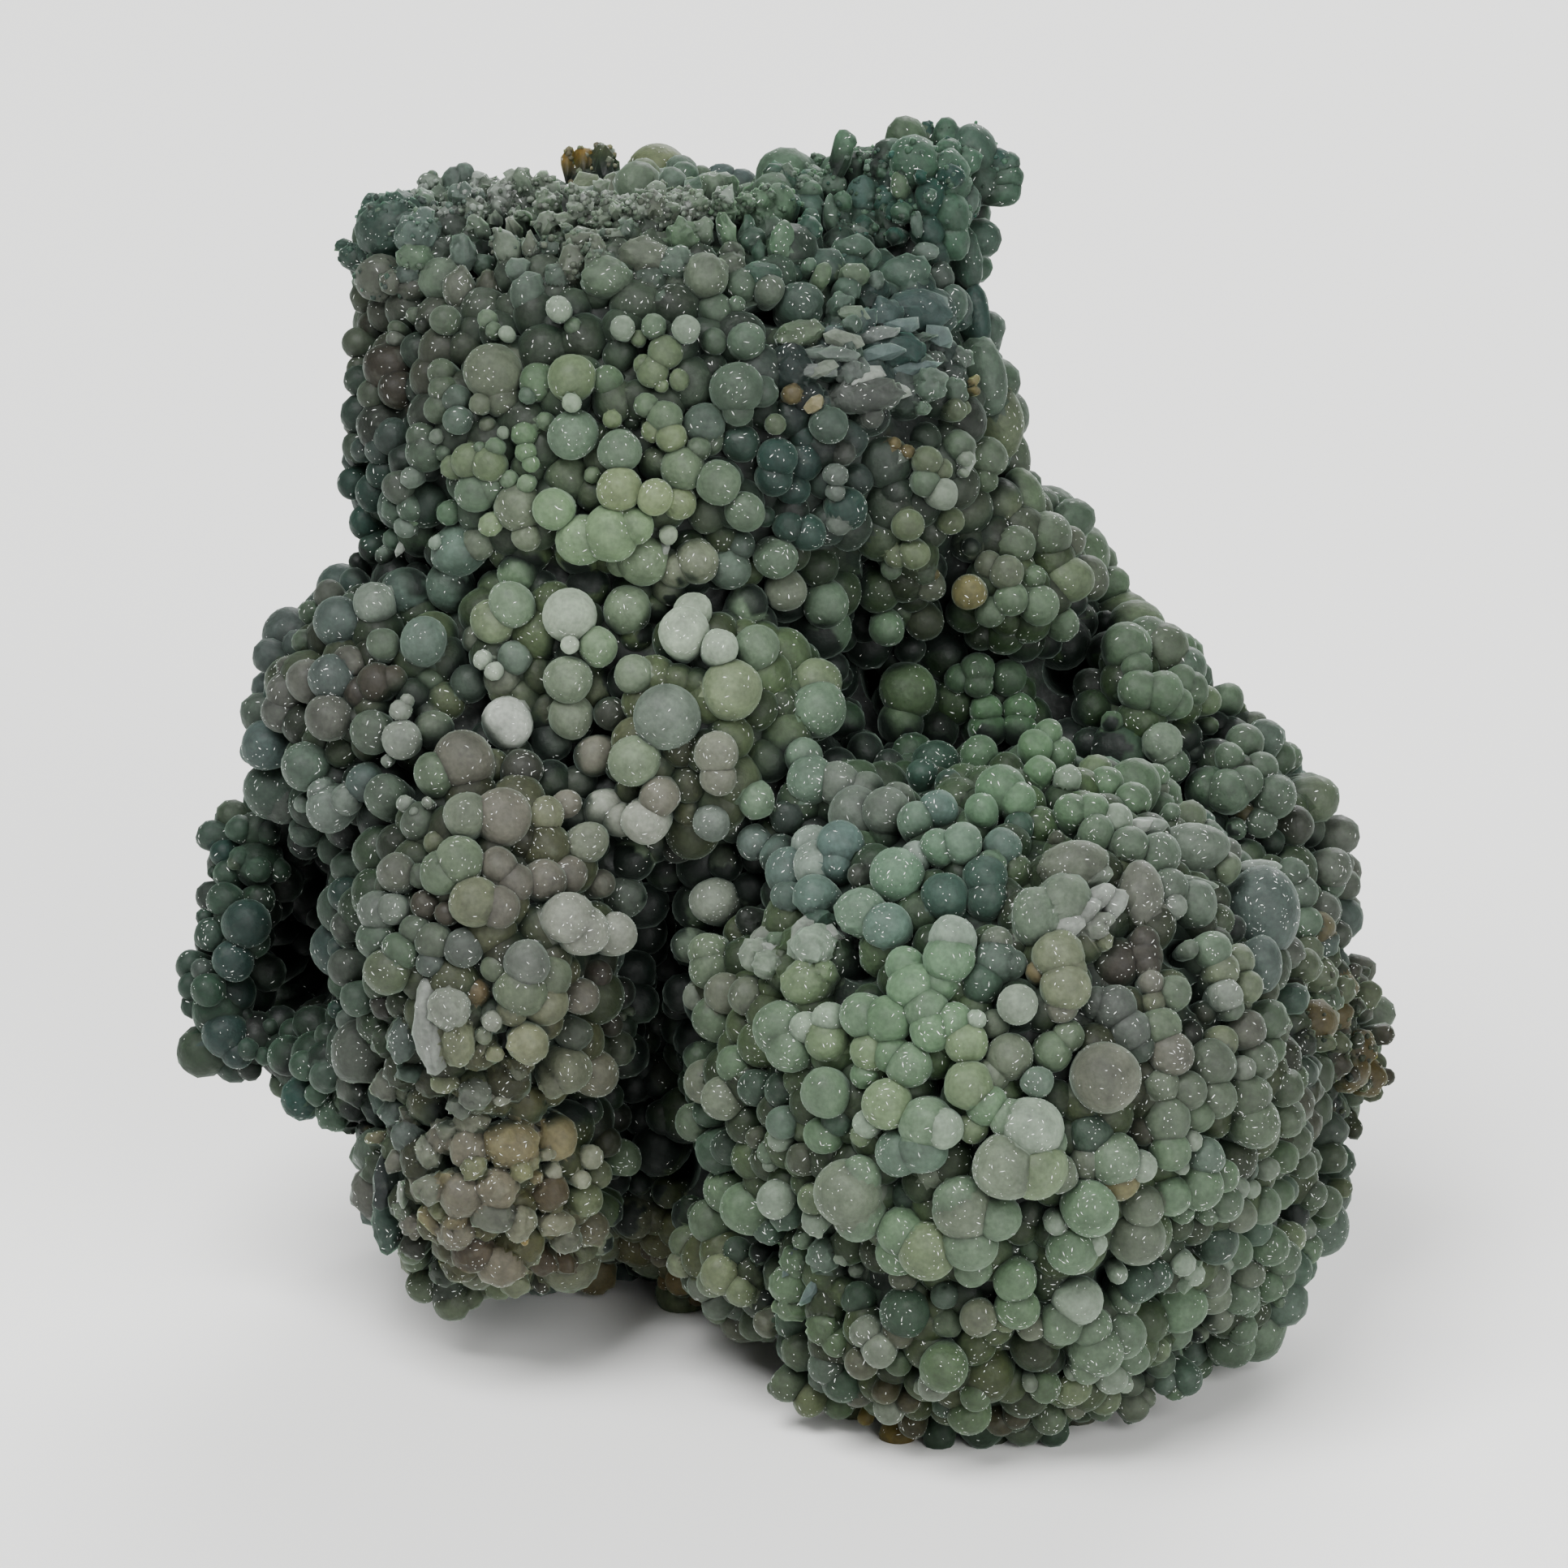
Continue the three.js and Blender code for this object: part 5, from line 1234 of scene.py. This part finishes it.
def fuse(piece, copies):
    """Joins a piece with round shapes, so that they share one skin and keep their seams."""
    folder = bpy.data.collections.new("fusing")
    bpy.context.scene.collection.children.link(folder)
    for shape, corners in copies:
        mesh = shape.mesh.copy()
        mesh.vertices.foreach_set("co", corners.ravel())
        folder.objects.link(bpy.data.objects.new("fusing", mesh))
    apply_modifier(
        piece, "BOOLEAN", "fusing", operation="UNION", solver="MANIFOLD", operand_type="COLLECTION",
        collection=folder,
    )
    for part in list(folder.objects):
        bpy.data.meshes.remove(part.data)
    bpy.data.collections.remove(folder)


def make_core(shape, inset):
    """The rock under the balls: the masses melted together, less the bowl and the pits."""
    core = joined("core", shape, [shape.ellipsoid(mass, inset) for mass in MASSES])
    apply_modifier(core, "REMESH", "melting", mode="VOXEL", voxel_size=CORE_GRID)
    for across, up, half_width, half_height, depth in PITS:
        mouth, mass = front_of(across, up)
        pit = [across, up, mouth.z, half_width, half_height, depth]
        carve(core, joined("pit", shape, [shape.ellipsoid(pit, 0)]))
    carve(core, joined("bowl", shape, [shape.ellipsoid(BOWL, 0)]))
    return core


def cut_flat(piece):
    """Cuts away all that lies below the flat that the stone rests on."""
    deselect()
    bpy.ops.mesh.primitive_cube_add(size=BLOCK_SIZE, location=(0, 0, -BLOCK_SIZE / 2))
    block = bpy.context.object
    bpy.ops.object.transform_apply(location=True, rotation=False, scale=False)
    carve(piece, block)


def thin(piece):
    """Turns a mesh to triangles and thins it to the most that a piece may have."""
    apply_modifier(piece, "TRIANGULATE", "triangles")
    count = len(piece.data.polygons)
    if count > MOST_TRIANGLES:
        apply_modifier(piece, "DECIMATE", "thinning", ratio=MOST_TRIANGLES / count)


def keep_largest_shell(piece):
    """Removes closed-off hollows and any loose bit, and keeps the stone's own skin."""
    make_active(piece)
    bpy.ops.mesh.separate(type="LOOSE")
    parts = sorted(bpy.context.selected_objects, key=lambda part: len(part.data.vertices))
    largest = parts.pop()
    for part in parts:
        bpy.data.meshes.remove(part.data)
    return largest


def rows_of(parts, name):
    """One property of all the corners or faces of a mesh, as rows of three numbers."""
    flat = np.zeros(len(parts) * 3)
    parts.foreach_get(name, flat)
    return flat.reshape(-1, 3)


def corner_indices(mesh):
    """The three corners of each face of a mesh of triangles, as rows of indices."""
    flat = np.zeros(len(mesh.loops), dtype=np.int32)
    mesh.loops.foreach_get("vertex_index", flat)
    return flat.reshape(-1, 3)


def write_numbers(mesh, name, values):
    """Writes one number for each corner of a mesh as its attribute."""
    mesh.attributes.new(name, "FLOAT", "POINT").data.foreach_set("value", values)


def write_tints(mesh, colours):
    """Writes one colour for each face of a mesh of triangles as its tint."""
    colours = np.column_stack([colours, np.ones(len(colours))])
    tint = mesh.attributes.new("tint", "FLOAT_COLOR", "CORNER")
    tint.data.foreach_set("color", np.repeat(colours, 3, axis=0).ravel())


class Painter:
    """Colours a mesh by the balls that it was joined from, and paints shade on it down in the gaps."""

    neighbours = 12
    # The rock's own colour shows from this far off the balls' skins, and over this range.
    bare_gap = 0.08
    bare_range = 0.3
    # The depth that sets the painted shade in the gaps: how high over a ball's middle it is 0, by its
    # radius, how fast that falls away to the side, and the greatest depth.
    high_share = 0.4
    side_fall = 0.25
    deepest = 6
    # The painted shade in the seams between two balls is this wide and so dark.
    seam_width = 0.12
    seam_shade = 0.4
    # The tips of the balls start at this share of their radius and take on so much painted shade,
    # and their sides so much painted highlight.
    tip_start = 0.55
    tip_range = 0.4
    tip_shade = 0.2
    side_highlight = 1.08

    def __init__(self, balls, core_colour):
        self.middles = np.array([UPRIGHT @ ball.middle for ball in balls])
        self.radii = np.array([ball.radius for ball in balls])
        self.ways = np.array([TURN @ ball.way for ball in balls])
        self.axes = np.array([TURN @ ball.axis for ball in balls])
        self.lengths = np.array([ball.length for ball in balls])
        self.root_shares = np.array([ball.root / (ball.root + ball.radius) for ball in balls])
        self.colours = np.array([ball.colour for ball in balls])
        self.core_colour = np.array(core_colour)
        self.tree = kdtree.KDTree(len(balls))
        for index, middle in enumerate(self.middles):
            self.tree.insert(middle, index)
        self.tree.balance()

    def nearest(self, places):
        """The nearest balls of each place."""
        return np.array([
            [index for middle, index, apart in self.tree.find_n(place, self.neighbours)]
            for place in places
        ])

    def measure(self, places, near):
        """From each place the way to its near balls' middles, the gap to their skins, and
        which of them is closest."""
        away = self.middles[near] - places[:, None, :]
        below = np.maximum((away * self.ways[near]).sum(axis=2), 0) * self.root_shares[near]
        reach = away - self.ways[near] * below[:, :, None]
        along = (reach * self.axes[near]).sum(axis=2) * (1 / self.lengths[near] - 1)
        reach += self.axes[near] * along[:, :, None]
        gaps = np.linalg.norm(reach, axis=2) - self.radii[near]
        return away, gaps, (np.arange(len(near)), gaps.argmin(axis=1))

    def paint(self, piece):
        """Writes each face's tint, and each corner's depth for the gap shade and its painted shade."""
        mesh = piece.data
        corners = rows_of(mesh.vertices, "co")
        around = self.nearest(corners)
        self.paint_faces(mesh, around[corner_indices(mesh)[:, 0]])
        away, gaps, closest = self.measure(corners, around)
        owner = around[closest]
        height = (away * self.ways[owner][:, None, :]).sum(axis=2)
        sideways = (away ** 2).sum(axis=2) - height ** 2
        depth = height + self.high_share * self.radii[around] - self.side_fall * sideways
        ordered = np.sort(gaps, axis=1)
        seam = np.exp(-(ordered[:, 1] - ordered[:, 0]) / self.seam_width)
        rise = -height[closest] / self.radii[owner]
        tip = np.clip((rise - self.tip_start) / self.tip_range, 0, 1)
        # Painted shade in the seams and on the tips, and a painted highlight on the sides of each ball.
        shade = (1 - self.seam_shade * seam) * (self.side_highlight - self.tip_shade * tip)
        write_numbers(mesh, "depth", np.clip(depth.max(axis=1), 0, self.deepest))
        write_numbers(mesh, "shade", shade)

    def paint_faces(self, mesh, near):
        """Gives every face the colour of the ball that it is on, or of the rock."""
        away, gaps, closest = self.measure(rows_of(mesh.polygons, "center"), near)
        colours = self.colours[near[closest]]
        bareness = np.clip((gaps[closest] - self.bare_gap) / self.bare_range, 0, 1)[:, None]
        write_tints(mesh, colours + (self.core_colour - colours) * bareness)


def roughen(piece):
    """Breaks up the skin where the stone is rough, in sharp small waves along its normals."""
    mesh = piece.data
    corners = rows_of(mesh.vertices, "co")
    normals = rows_of(mesh.vertices, "normal")
    layout = (corners - np.array(UPRIGHT.translation)) @ np.array(TURN)
    depths = np.zeros(len(corners))
    for across, up, half_width, half_height, depth in BROKEN:
        share = ((layout[:, 0] - across) / half_width) ** 2
        share += ((layout[:, 1] - up) / half_height) ** 2
        depths = np.maximum(depths, depth * np.clip((ROUGH_EDGE - share) / ROUGH_FADE, 0, 1))
    for index in np.flatnonzero(depths):
        wave = noise.turbulence(Vector(corners[index]) * ROUGH_RATE, ROUGH_LAYERS, True)
        corners[index] += normals[index] * (depths[index] * (ROUGH_HEIGHT * wave - ROUGH_SINK))
    corners[:, 2] = np.maximum(corners[:, 2], 0)
    mesh.vertices.foreach_set("co", corners.ravel())
    mesh.update()


def finish_mesh(piece, name, angle):
    """Scales a piece to metres, names it and shades it smooth."""
    piece.data.transform(Matrix.Scale(MILLIMETRE, 4))
    piece.data.name = name
    piece.name = name
    make_active(piece)
    bpy.ops.object.shade_smooth_by_angle(angle=math.radians(angle))


class Growth:
    """Every ball of the stone, in the order in which they find their room."""

    def __init__(self, scene):
        sizes = scene.stone_sizes
        chance = random.Random(SEEDS["room"])
        palette = Palette(scene.stone_tints, random.Random(SEEDS["colours"]))
        crowd = Crowd()
        self.front = [
            *front_balls(sizes, palette), *front_drops(sizes, palette), *ridge_balls(sizes, palette),
        ]
        for ball in self.front:
            crowd.add(ball)
        self.hidden = []
        for ball in hidden_balls(sizes, crowd, palette, chance):
            crowd.add(ball)
            self.hidden.append(ball)
        for ball in ground_balls(sizes, crowd, palette, chance):
            crowd.add(ball)
            self.front.append(ball)
        self.front += crust_lumps(sizes, palette, chance)
        paint_hollow_shade(self.front + self.hidden, RoundShape(3))
        self.grains = list(crust_grains(sizes, self.front, palette, chance))
        self.neck = [ball for ball in self.front if ball.middle.y > NECK_FOOT]
        lobes = [ball for ball in self.front if ball.middle.y <= NECK_FOOT]
        self.left = [ball for ball in lobes if ball.middle.x < LOBE_SPLIT]
        self.right = [ball for ball in lobes if ball.middle.x >= LOBE_SPLIT]


def ball_copies(balls, sizes, name, fineness=1):
    """Each ball as a round shape and its moved corners; large balls get finer shapes."""
    chance = random.Random(SEEDS[name])
    plain = RoundShape(2)
    fine = RoundShape(3)
    finest = RoundShape(4)
    copies = []
    for ball in balls:
        shape = plain
        if ball.radius * MILLIMETRE * fineness >= sizes.fine_radius:
            shape = fine
        if ball.radius * MILLIMETRE * fineness >= sizes.finest_radius:
            shape = finest
        copies.append((shape, shape.ball(ball, sizes.wobble, chance)))
    return copies


def make_right(growth, scene):
    """The rock with the balls of the right lobe, as one closed mesh."""
    sizes = scene.stone_sizes
    stone = make_core(RoundShape(4), sizes.core_inset / MILLIMETRE)
    fuse(stone, ball_copies(growth.right, sizes, "grape_cluster"))
    cut_flat(stone)
    stone = keep_largest_shell(stone)
    finish_crust(stone, growth, scene, "grape_cluster")
    return stone


def make_crust(balls, growth, scene, name, fineness=1):
    """A closed crust of balls that stand on the rock."""
    copies = ball_copies(balls, scene.stone_sizes, name, fineness)
    shape, corners = copies.pop()
    crust = joined(name, shape, [corners])
    fuse(crust, copies)
    cut_flat(crust)
    finish_crust(crust, growth, scene, name)
    return crust


def finish_crust(piece, growth, scene, name):
    """Thins, paints and shades a piece of joined balls."""
    thin(piece)
    Painter(growth.front + growth.hidden, scene.stone_tints.core).paint(piece)
    roughen(piece)
    finish_mesh(piece, name, BALL_ANGLE)


def make_left(growth, scene):
    """The balls of the left lobe and of the loop beside it."""
    return make_crust(growth.left, growth, scene, "left_grapes")


def make_neck(growth, scene):
    """The balls of the neck and of the shoulders under it."""
    return make_crust(growth.neck, growth, scene, "neck_grapes")


def make_rear(growth, scene):
    """The balls of the back and the sides."""
    return make_crust(growth.hidden, growth, scene, "rear_grapes", REAR_FINENESS)


def make_grains(growth, scene):
    """The fine grains, joined as they are."""
    shape = RoundShape(1)
    chance = random.Random(SEEDS["fine_grains"])
    copies = [shape.ball(ball, GRAIN_WOBBLE, chance) for ball in growth.grains]
    grains = joined("fine_grains", shape, copies)
    Painter(growth.grains, scene.stone_tints.core).paint(grains)
    finish_mesh(grains, "fine_grains", GRAIN_ANGLE)
    return grains


def make_shards(growth, scene):
    """The broken slivers of clearer stone, joined as they are."""
    shape = RoundShape(1)
    chance = random.Random(SEEDS["broken_slivers"])
    shards = joined("broken_slivers", shape, [shape.sliver(shard, chance) for shard in SHARDS])
    tints = scene.stone_tints
    colours = np.array([getattr(tints, TINT_NAMES[shard[-1]]) for shard in SHARDS])
    write_tints(shards.data, np.repeat(colours * tints.lightness, len(shape.faces), axis=0))
    even = np.ones(len(shards.data.vertices))
    write_numbers(shards.data, "depth", even * SLIVER_DEPTH)
    write_numbers(shards.data, "shade", even)
    finish_mesh(shards, "broken_slivers", SLIVER_ANGLE)
    return shards


def flakes_on(piece, per_area, sizes, chance):
    """The corners of thin four-sided flakes, scattered over a piece by the area of its faces."""
    mesh = piece.data
    count = len(mesh.polygons)
    areas = np.zeros(count)
    mesh.polygons.foreach_get("area", areas)
    centres = rows_of(mesh.polygons, "center")
    depth = np.zeros(len(mesh.vertices))
    mesh.attributes["depth"].data.foreach_get("value", depth)
    rates = chance.normal(scale=CLUSTER_RATE / MILLIMETRE, size=(3, CLUSTER_WAVES))
    waves = np.sin(centres @ rates).sum(axis=1)
    cluster = np.clip(1 + CLUSTER_STRENGTH * waves, *CLUSTER_BOUNDS)
    rarity = np.exp(-depth[corner_indices(mesh)[:, 0]] / FLAKE_DEPTH)
    expected = areas * per_area * cluster * rarity
    is_high = centres[:, 2] > FLAKE_FLOOR * MILLIMETRE
    chosen = np.flatnonzero((chance.random(count) < expected) & is_high)
    normal = rows_of(mesh.polygons, "normal")[chosen]
    centre = centres[chosen]
    pull = RING_PULL * (chance.random((len(chosen), 1)) < RING_SHARE)
    ring = np.array(TURN @ Vector((0, 0, 1))) * pull
    along = np.cross(normal, ring + chance.normal(scale=RING_STRAY, size=(len(chosen), 3)))
    along /= np.linalg.norm(along, axis=1, keepdims=True)
    across = np.cross(normal, along)
    share = FLAKE_SHORTEST + FLAKE_RANGE * chance.random((len(chosen), 1)) ** FLAKE_RARITY
    length = sizes.sparkle_length / 2 * share
    width = sizes.sparkle_width / 2 * chance.uniform(*FLAKE_WIDTHS, (len(chosen), 1))
    corners = np.stack([
        centre + along * length, centre - along * length,
        centre + (across + normal) * width, centre + (normal - across) * width,
    ], axis=1)
    return corners.reshape(-1, 3)


def make_sparkle(scene):
    """Fine flakes of quartz scattered over the balls, near white to paint their glints."""
    sizes = scene.stone_sizes
    chance = np.random.default_rng(SEEDS["sparkle_flakes"])
    corners = np.concatenate([
        flakes_on(bpy.data.objects[name], density / MILLIMETRE ** 2, sizes, chance)
        for name, density in FLAKES.items()
    ])
    firsts = np.arange(0, len(corners), 4)[:, None, None]
    sides = np.array([(0, 1, 2), (0, 3, 1), (0, 2, 3), (1, 3, 2)])
    mesh = bpy.data.meshes.new("sparkle_flakes")
    mesh.from_pydata(corners, [], (firsts + sides).reshape(-1, 3))
    piece = bpy.data.objects.new("sparkle_flakes", mesh)
    bpy.context.scene.collection.objects.link(piece)
    return piece


def node_material(name):
    """A new material with its node tree and its surface shader."""
    material = bpy.data.materials.new(name)
    material.use_nodes = True
    tree = material.node_tree
    return material, tree, tree.nodes["Principled BSDF"]


def set_inputs(node, values):
    """Sets a node's plain inputs by their names."""
    for name, value in values.items():
        node.inputs[name].default_value = value


def attribute_node(tree, name):
    """Reads one of the piece's own attributes."""
    node = tree.nodes.new("ShaderNodeAttribute")
    node.attribute_name = name
    return node


def noise_node(tree, scale, detail):
    """A soft pattern on the stone's own coordinates."""
    place = tree.nodes.new("ShaderNodeTexCoord")
    node = tree.nodes.new("ShaderNodeTexNoise")
    set_inputs(node, {"Scale": scale, "Detail": detail})
    tree.links.new(place.outputs["Object"], node.inputs["Vector"])
    return node.outputs["Fac"]


def range_node(tree, source, bounds):
    """Turns one range of numbers into another."""
    node = tree.nodes.new("ShaderNodeMapRange")
    set_inputs(node, dict(zip(("From Min", "From Max", "To Min", "To Max"), bounds)))
    tree.links.new(source, node.inputs["Value"])
    return node.outputs["Result"]


def pattern(tree, name):
    """One of the patterns that are listed at the top."""
    scale, detail, *bounds = PATTERNS[name]
    return range_node(tree, noise_node(tree, scale, detail), bounds)


def scaled_colour(tree, colour, factor):
    """A colour made darker or lighter by a number."""
    node = tree.nodes.new("ShaderNodeVectorMath")
    node.operation = "SCALE"
    tree.links.new(colour, node.inputs[0])
    tree.links.new(factor, node.inputs["Scale"])
    return node.outputs["Vector"]


def mixed_colour(tree, factor, first, second):
    """A colour mixed towards a plain one by a factor."""
    node = tree.nodes.new("ShaderNodeMix")
    node.data_type = "RGBA"
    tree.links.new(factor, node.inputs["Factor"])
    tree.links.new(first, node.inputs["A"])
    node.inputs["B"].default_value = (*second, 1)
    return node.outputs["Result"]


def waxy_stone(tints):
    """Waxy, slightly see-through chalcedony, with green, then near-black painted shade between its balls.
    """
    material, tree, shader = node_material("waxy_chalcedony")
    tint = attribute_node(tree, "tint").outputs["Color"]
    depth = attribute_node(tree, "depth").outputs["Fac"]
    shade = attribute_node(tree, "shade").outputs["Fac"]
    coloured = scaled_colour(tree, tint, pattern(tree, "cloud"))
    coloured = scaled_colour(tree, coloured, pattern(tree, "speckle"))
    # The painted shade of the seams and tips, and the painted highlight of the balls' sides.
    coloured = scaled_colour(tree, coloured, shade)
    frosted = mixed_colour(tree, pattern(tree, "frost"), coloured, tints.ash)
    # Painted shade down in the gaps: first the gap's green, then the core's near black.
    gap_shaded = mixed_colour(tree, range_node(tree, depth, GAP_SHADE_DEPTHS), frosted, tints.gap)
    shaded = mixed_colour(tree, range_node(tree, depth, DEEP_SHADE_DEPTHS), gap_shaded, tints.core)
    tree.links.new(shaded, shader.inputs["Base Color"])
    tree.links.new(pattern(tree, "wax gloss"), shader.inputs["Roughness"])
    set_inputs(shader, WAX)
    bump = tree.nodes.new("ShaderNodeBump")
    set_inputs(bump, {"Strength": BUMP_STRENGTH, "Distance": BUMP_HEIGHT * MILLIMETRE})
    tree.links.new(noise_node(tree, *BUMP_NOISE), bump.inputs["Height"])
    tree.links.new(bump.outputs["Normal"], shader.inputs["Normal"])
    return material


def quartz_glint():
    """The faces of the tiny crystals, near white to paint their glints."""
    material, tree, shader = node_material("quartz_glint")
    shader.inputs["Base Color"].default_value = GLINT_COLOUR
    tree.links.new(pattern(tree, "glint gloss"), shader.inputs["Roughness"])
    return material


def make_floor(settings):
    """A plain pale floor, wide enough to fill the view."""
    deselect()
    bpy.ops.mesh.primitive_plane_add(size=FLOOR_SIZE, location=(0, 0, 0))
    floor = bpy.context.object
    floor.name = "floor"
    material, tree, shader = node_material("pale_floor")
    set_inputs(shader, {"Base Color": (*settings.floor_tint, 1), "Roughness": FLOOR_ROUGHNESS})
    floor.data.materials.append(material)


def add_light(name, settings, target):
    """A soft square light that points at a target."""
    size, place = LIGHTS[name]
    bpy.ops.object.light_add(type="AREA", location=place)
    light = bpy.context.object
    light.name = name + "_light"
    light.data.energy = getattr(settings, name + "_power")
    light.data.size = size
    light.rotation_euler = (Vector(target) - Vector(place)).to_track_quat("-Z", "Y").to_euler()


def make_camera(settings):
    """The camera, looking down on the stone's front from the distance."""
    target = UPRIGHT @ Vector((0, 0, 0)) * MILLIMETRE
    away = TURN @ Vector((0, 0, settings.camera_distance))
    bpy.ops.object.camera_add(location=target + away)
    camera = bpy.context.object
    camera.name = "camera"
    camera.data.lens = settings.camera_lens
    camera.data.sensor_width = SENSOR_WIDTH
    camera.data.clip_end = FURTHEST_SEEN
    camera.rotation_euler = (math.radians(90) - LOOK_DOWN, 0, 0)
    bpy.context.scene.camera = camera
    return target


def dress(piece, material):
    """Gives a piece its material and says that it belongs to the stone."""
    piece.data.materials.clear()
    piece.data.materials.append(material)
    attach(piece, "root")


class GrowCluster(bpy.types.Operator):
    """Grow the stone with all its balls and grains"""

    bl_idname = "object.chalcedony_cluster"
    bl_label = "Grow cluster"

    def execute(self, context):
        scene = context.scene
        growth = Growth(scene)
        wax = waxy_stone(scene.stone_tints)
        for make in (make_right, make_left, make_neck, make_rear, make_grains, make_shards):
            piece = make(growth, scene)
            dress(piece, wax)
            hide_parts("chalcedony")
        return {"FINISHED"}


class ScatterSparkle(bpy.types.Operator):
    """Scatter the fine flakes that sparkle"""

    bl_idname = "object.chalcedony_sparkle"
    bl_label = "Scatter sparkle"

    def execute(self, context):
        dress(make_sparkle(context.scene), quartz_glint())
        return {"FINISHED"}


class SetStage(bpy.types.Operator):
    """Set up the floor, the lights and the camera"""

    bl_idname = "scene.chalcedony_stage"
    bl_label = "Set stage"

    def execute(self, context):
        settings = context.scene.stage_settings
        make_floor(settings)
        target = make_camera(settings)
        for name in LIGHTS:
            add_light(name, settings, target)
        world = context.scene.world or bpy.data.worlds.new("surroundings")
        context.scene.world = world
        world.use_nodes = True
        sky = world.node_tree.nodes["Background"]
        set_inputs(sky, {"Color": (1, 1, 1, 1), "Strength": settings.sky_strength})
        return {"FINISHED"}


class ChalcedonyPanel(bpy.types.Panel):
    """Lists the steps and the sizes and colours that they use"""

    bl_idname = "VIEW3D_PT_chalcedony"
    bl_label = "Botryoidal chalcedony"
    bl_space_type = "VIEW_3D"
    bl_region_type = "UI"
    bl_category = "Chalcedony"

    def draw(self, context):
        scene = context.scene
        for step in STEPS:
            self.layout.operator(step.bl_idname)
        for group in (scene.stone_sizes, scene.stone_tints, scene.stage_settings):
            box = self.layout.box()
            for name in group.__annotations__:
                box.prop(group, name)


STEPS = (GrowCluster, ScatterSparkle, SetStage)
CLASSES = (StoneSizes, StoneTints, StageSettings, *STEPS, ChalcedonyPanel)


def register():
    """Adds the classes and the settings to Blender."""
    for item in CLASSES:
        bpy.utils.register_class(item)
    bpy.types.Scene.stone_sizes = bpy.props.PointerProperty(type=StoneSizes)
    bpy.types.Scene.stone_tints = bpy.props.PointerProperty(type=StoneTints)
    bpy.types.Scene.stage_settings = bpy.props.PointerProperty(type=StageSettings)


def unregister():
    """Takes the settings and the classes away again."""
    del bpy.types.Scene.stage_settings
    del bpy.types.Scene.stone_tints
    del bpy.types.Scene.stone_sizes
    for item in reversed(CLASSES):
        bpy.utils.unregister_class(item)


def main():
    """Makes every piece."""
    register()
    bpy.ops.object.chalcedony_cluster()
    bpy.ops.object.chalcedony_sparkle()
    bpy.ops.scene.chalcedony_stage()


if __name__ == "__main__":
    main()
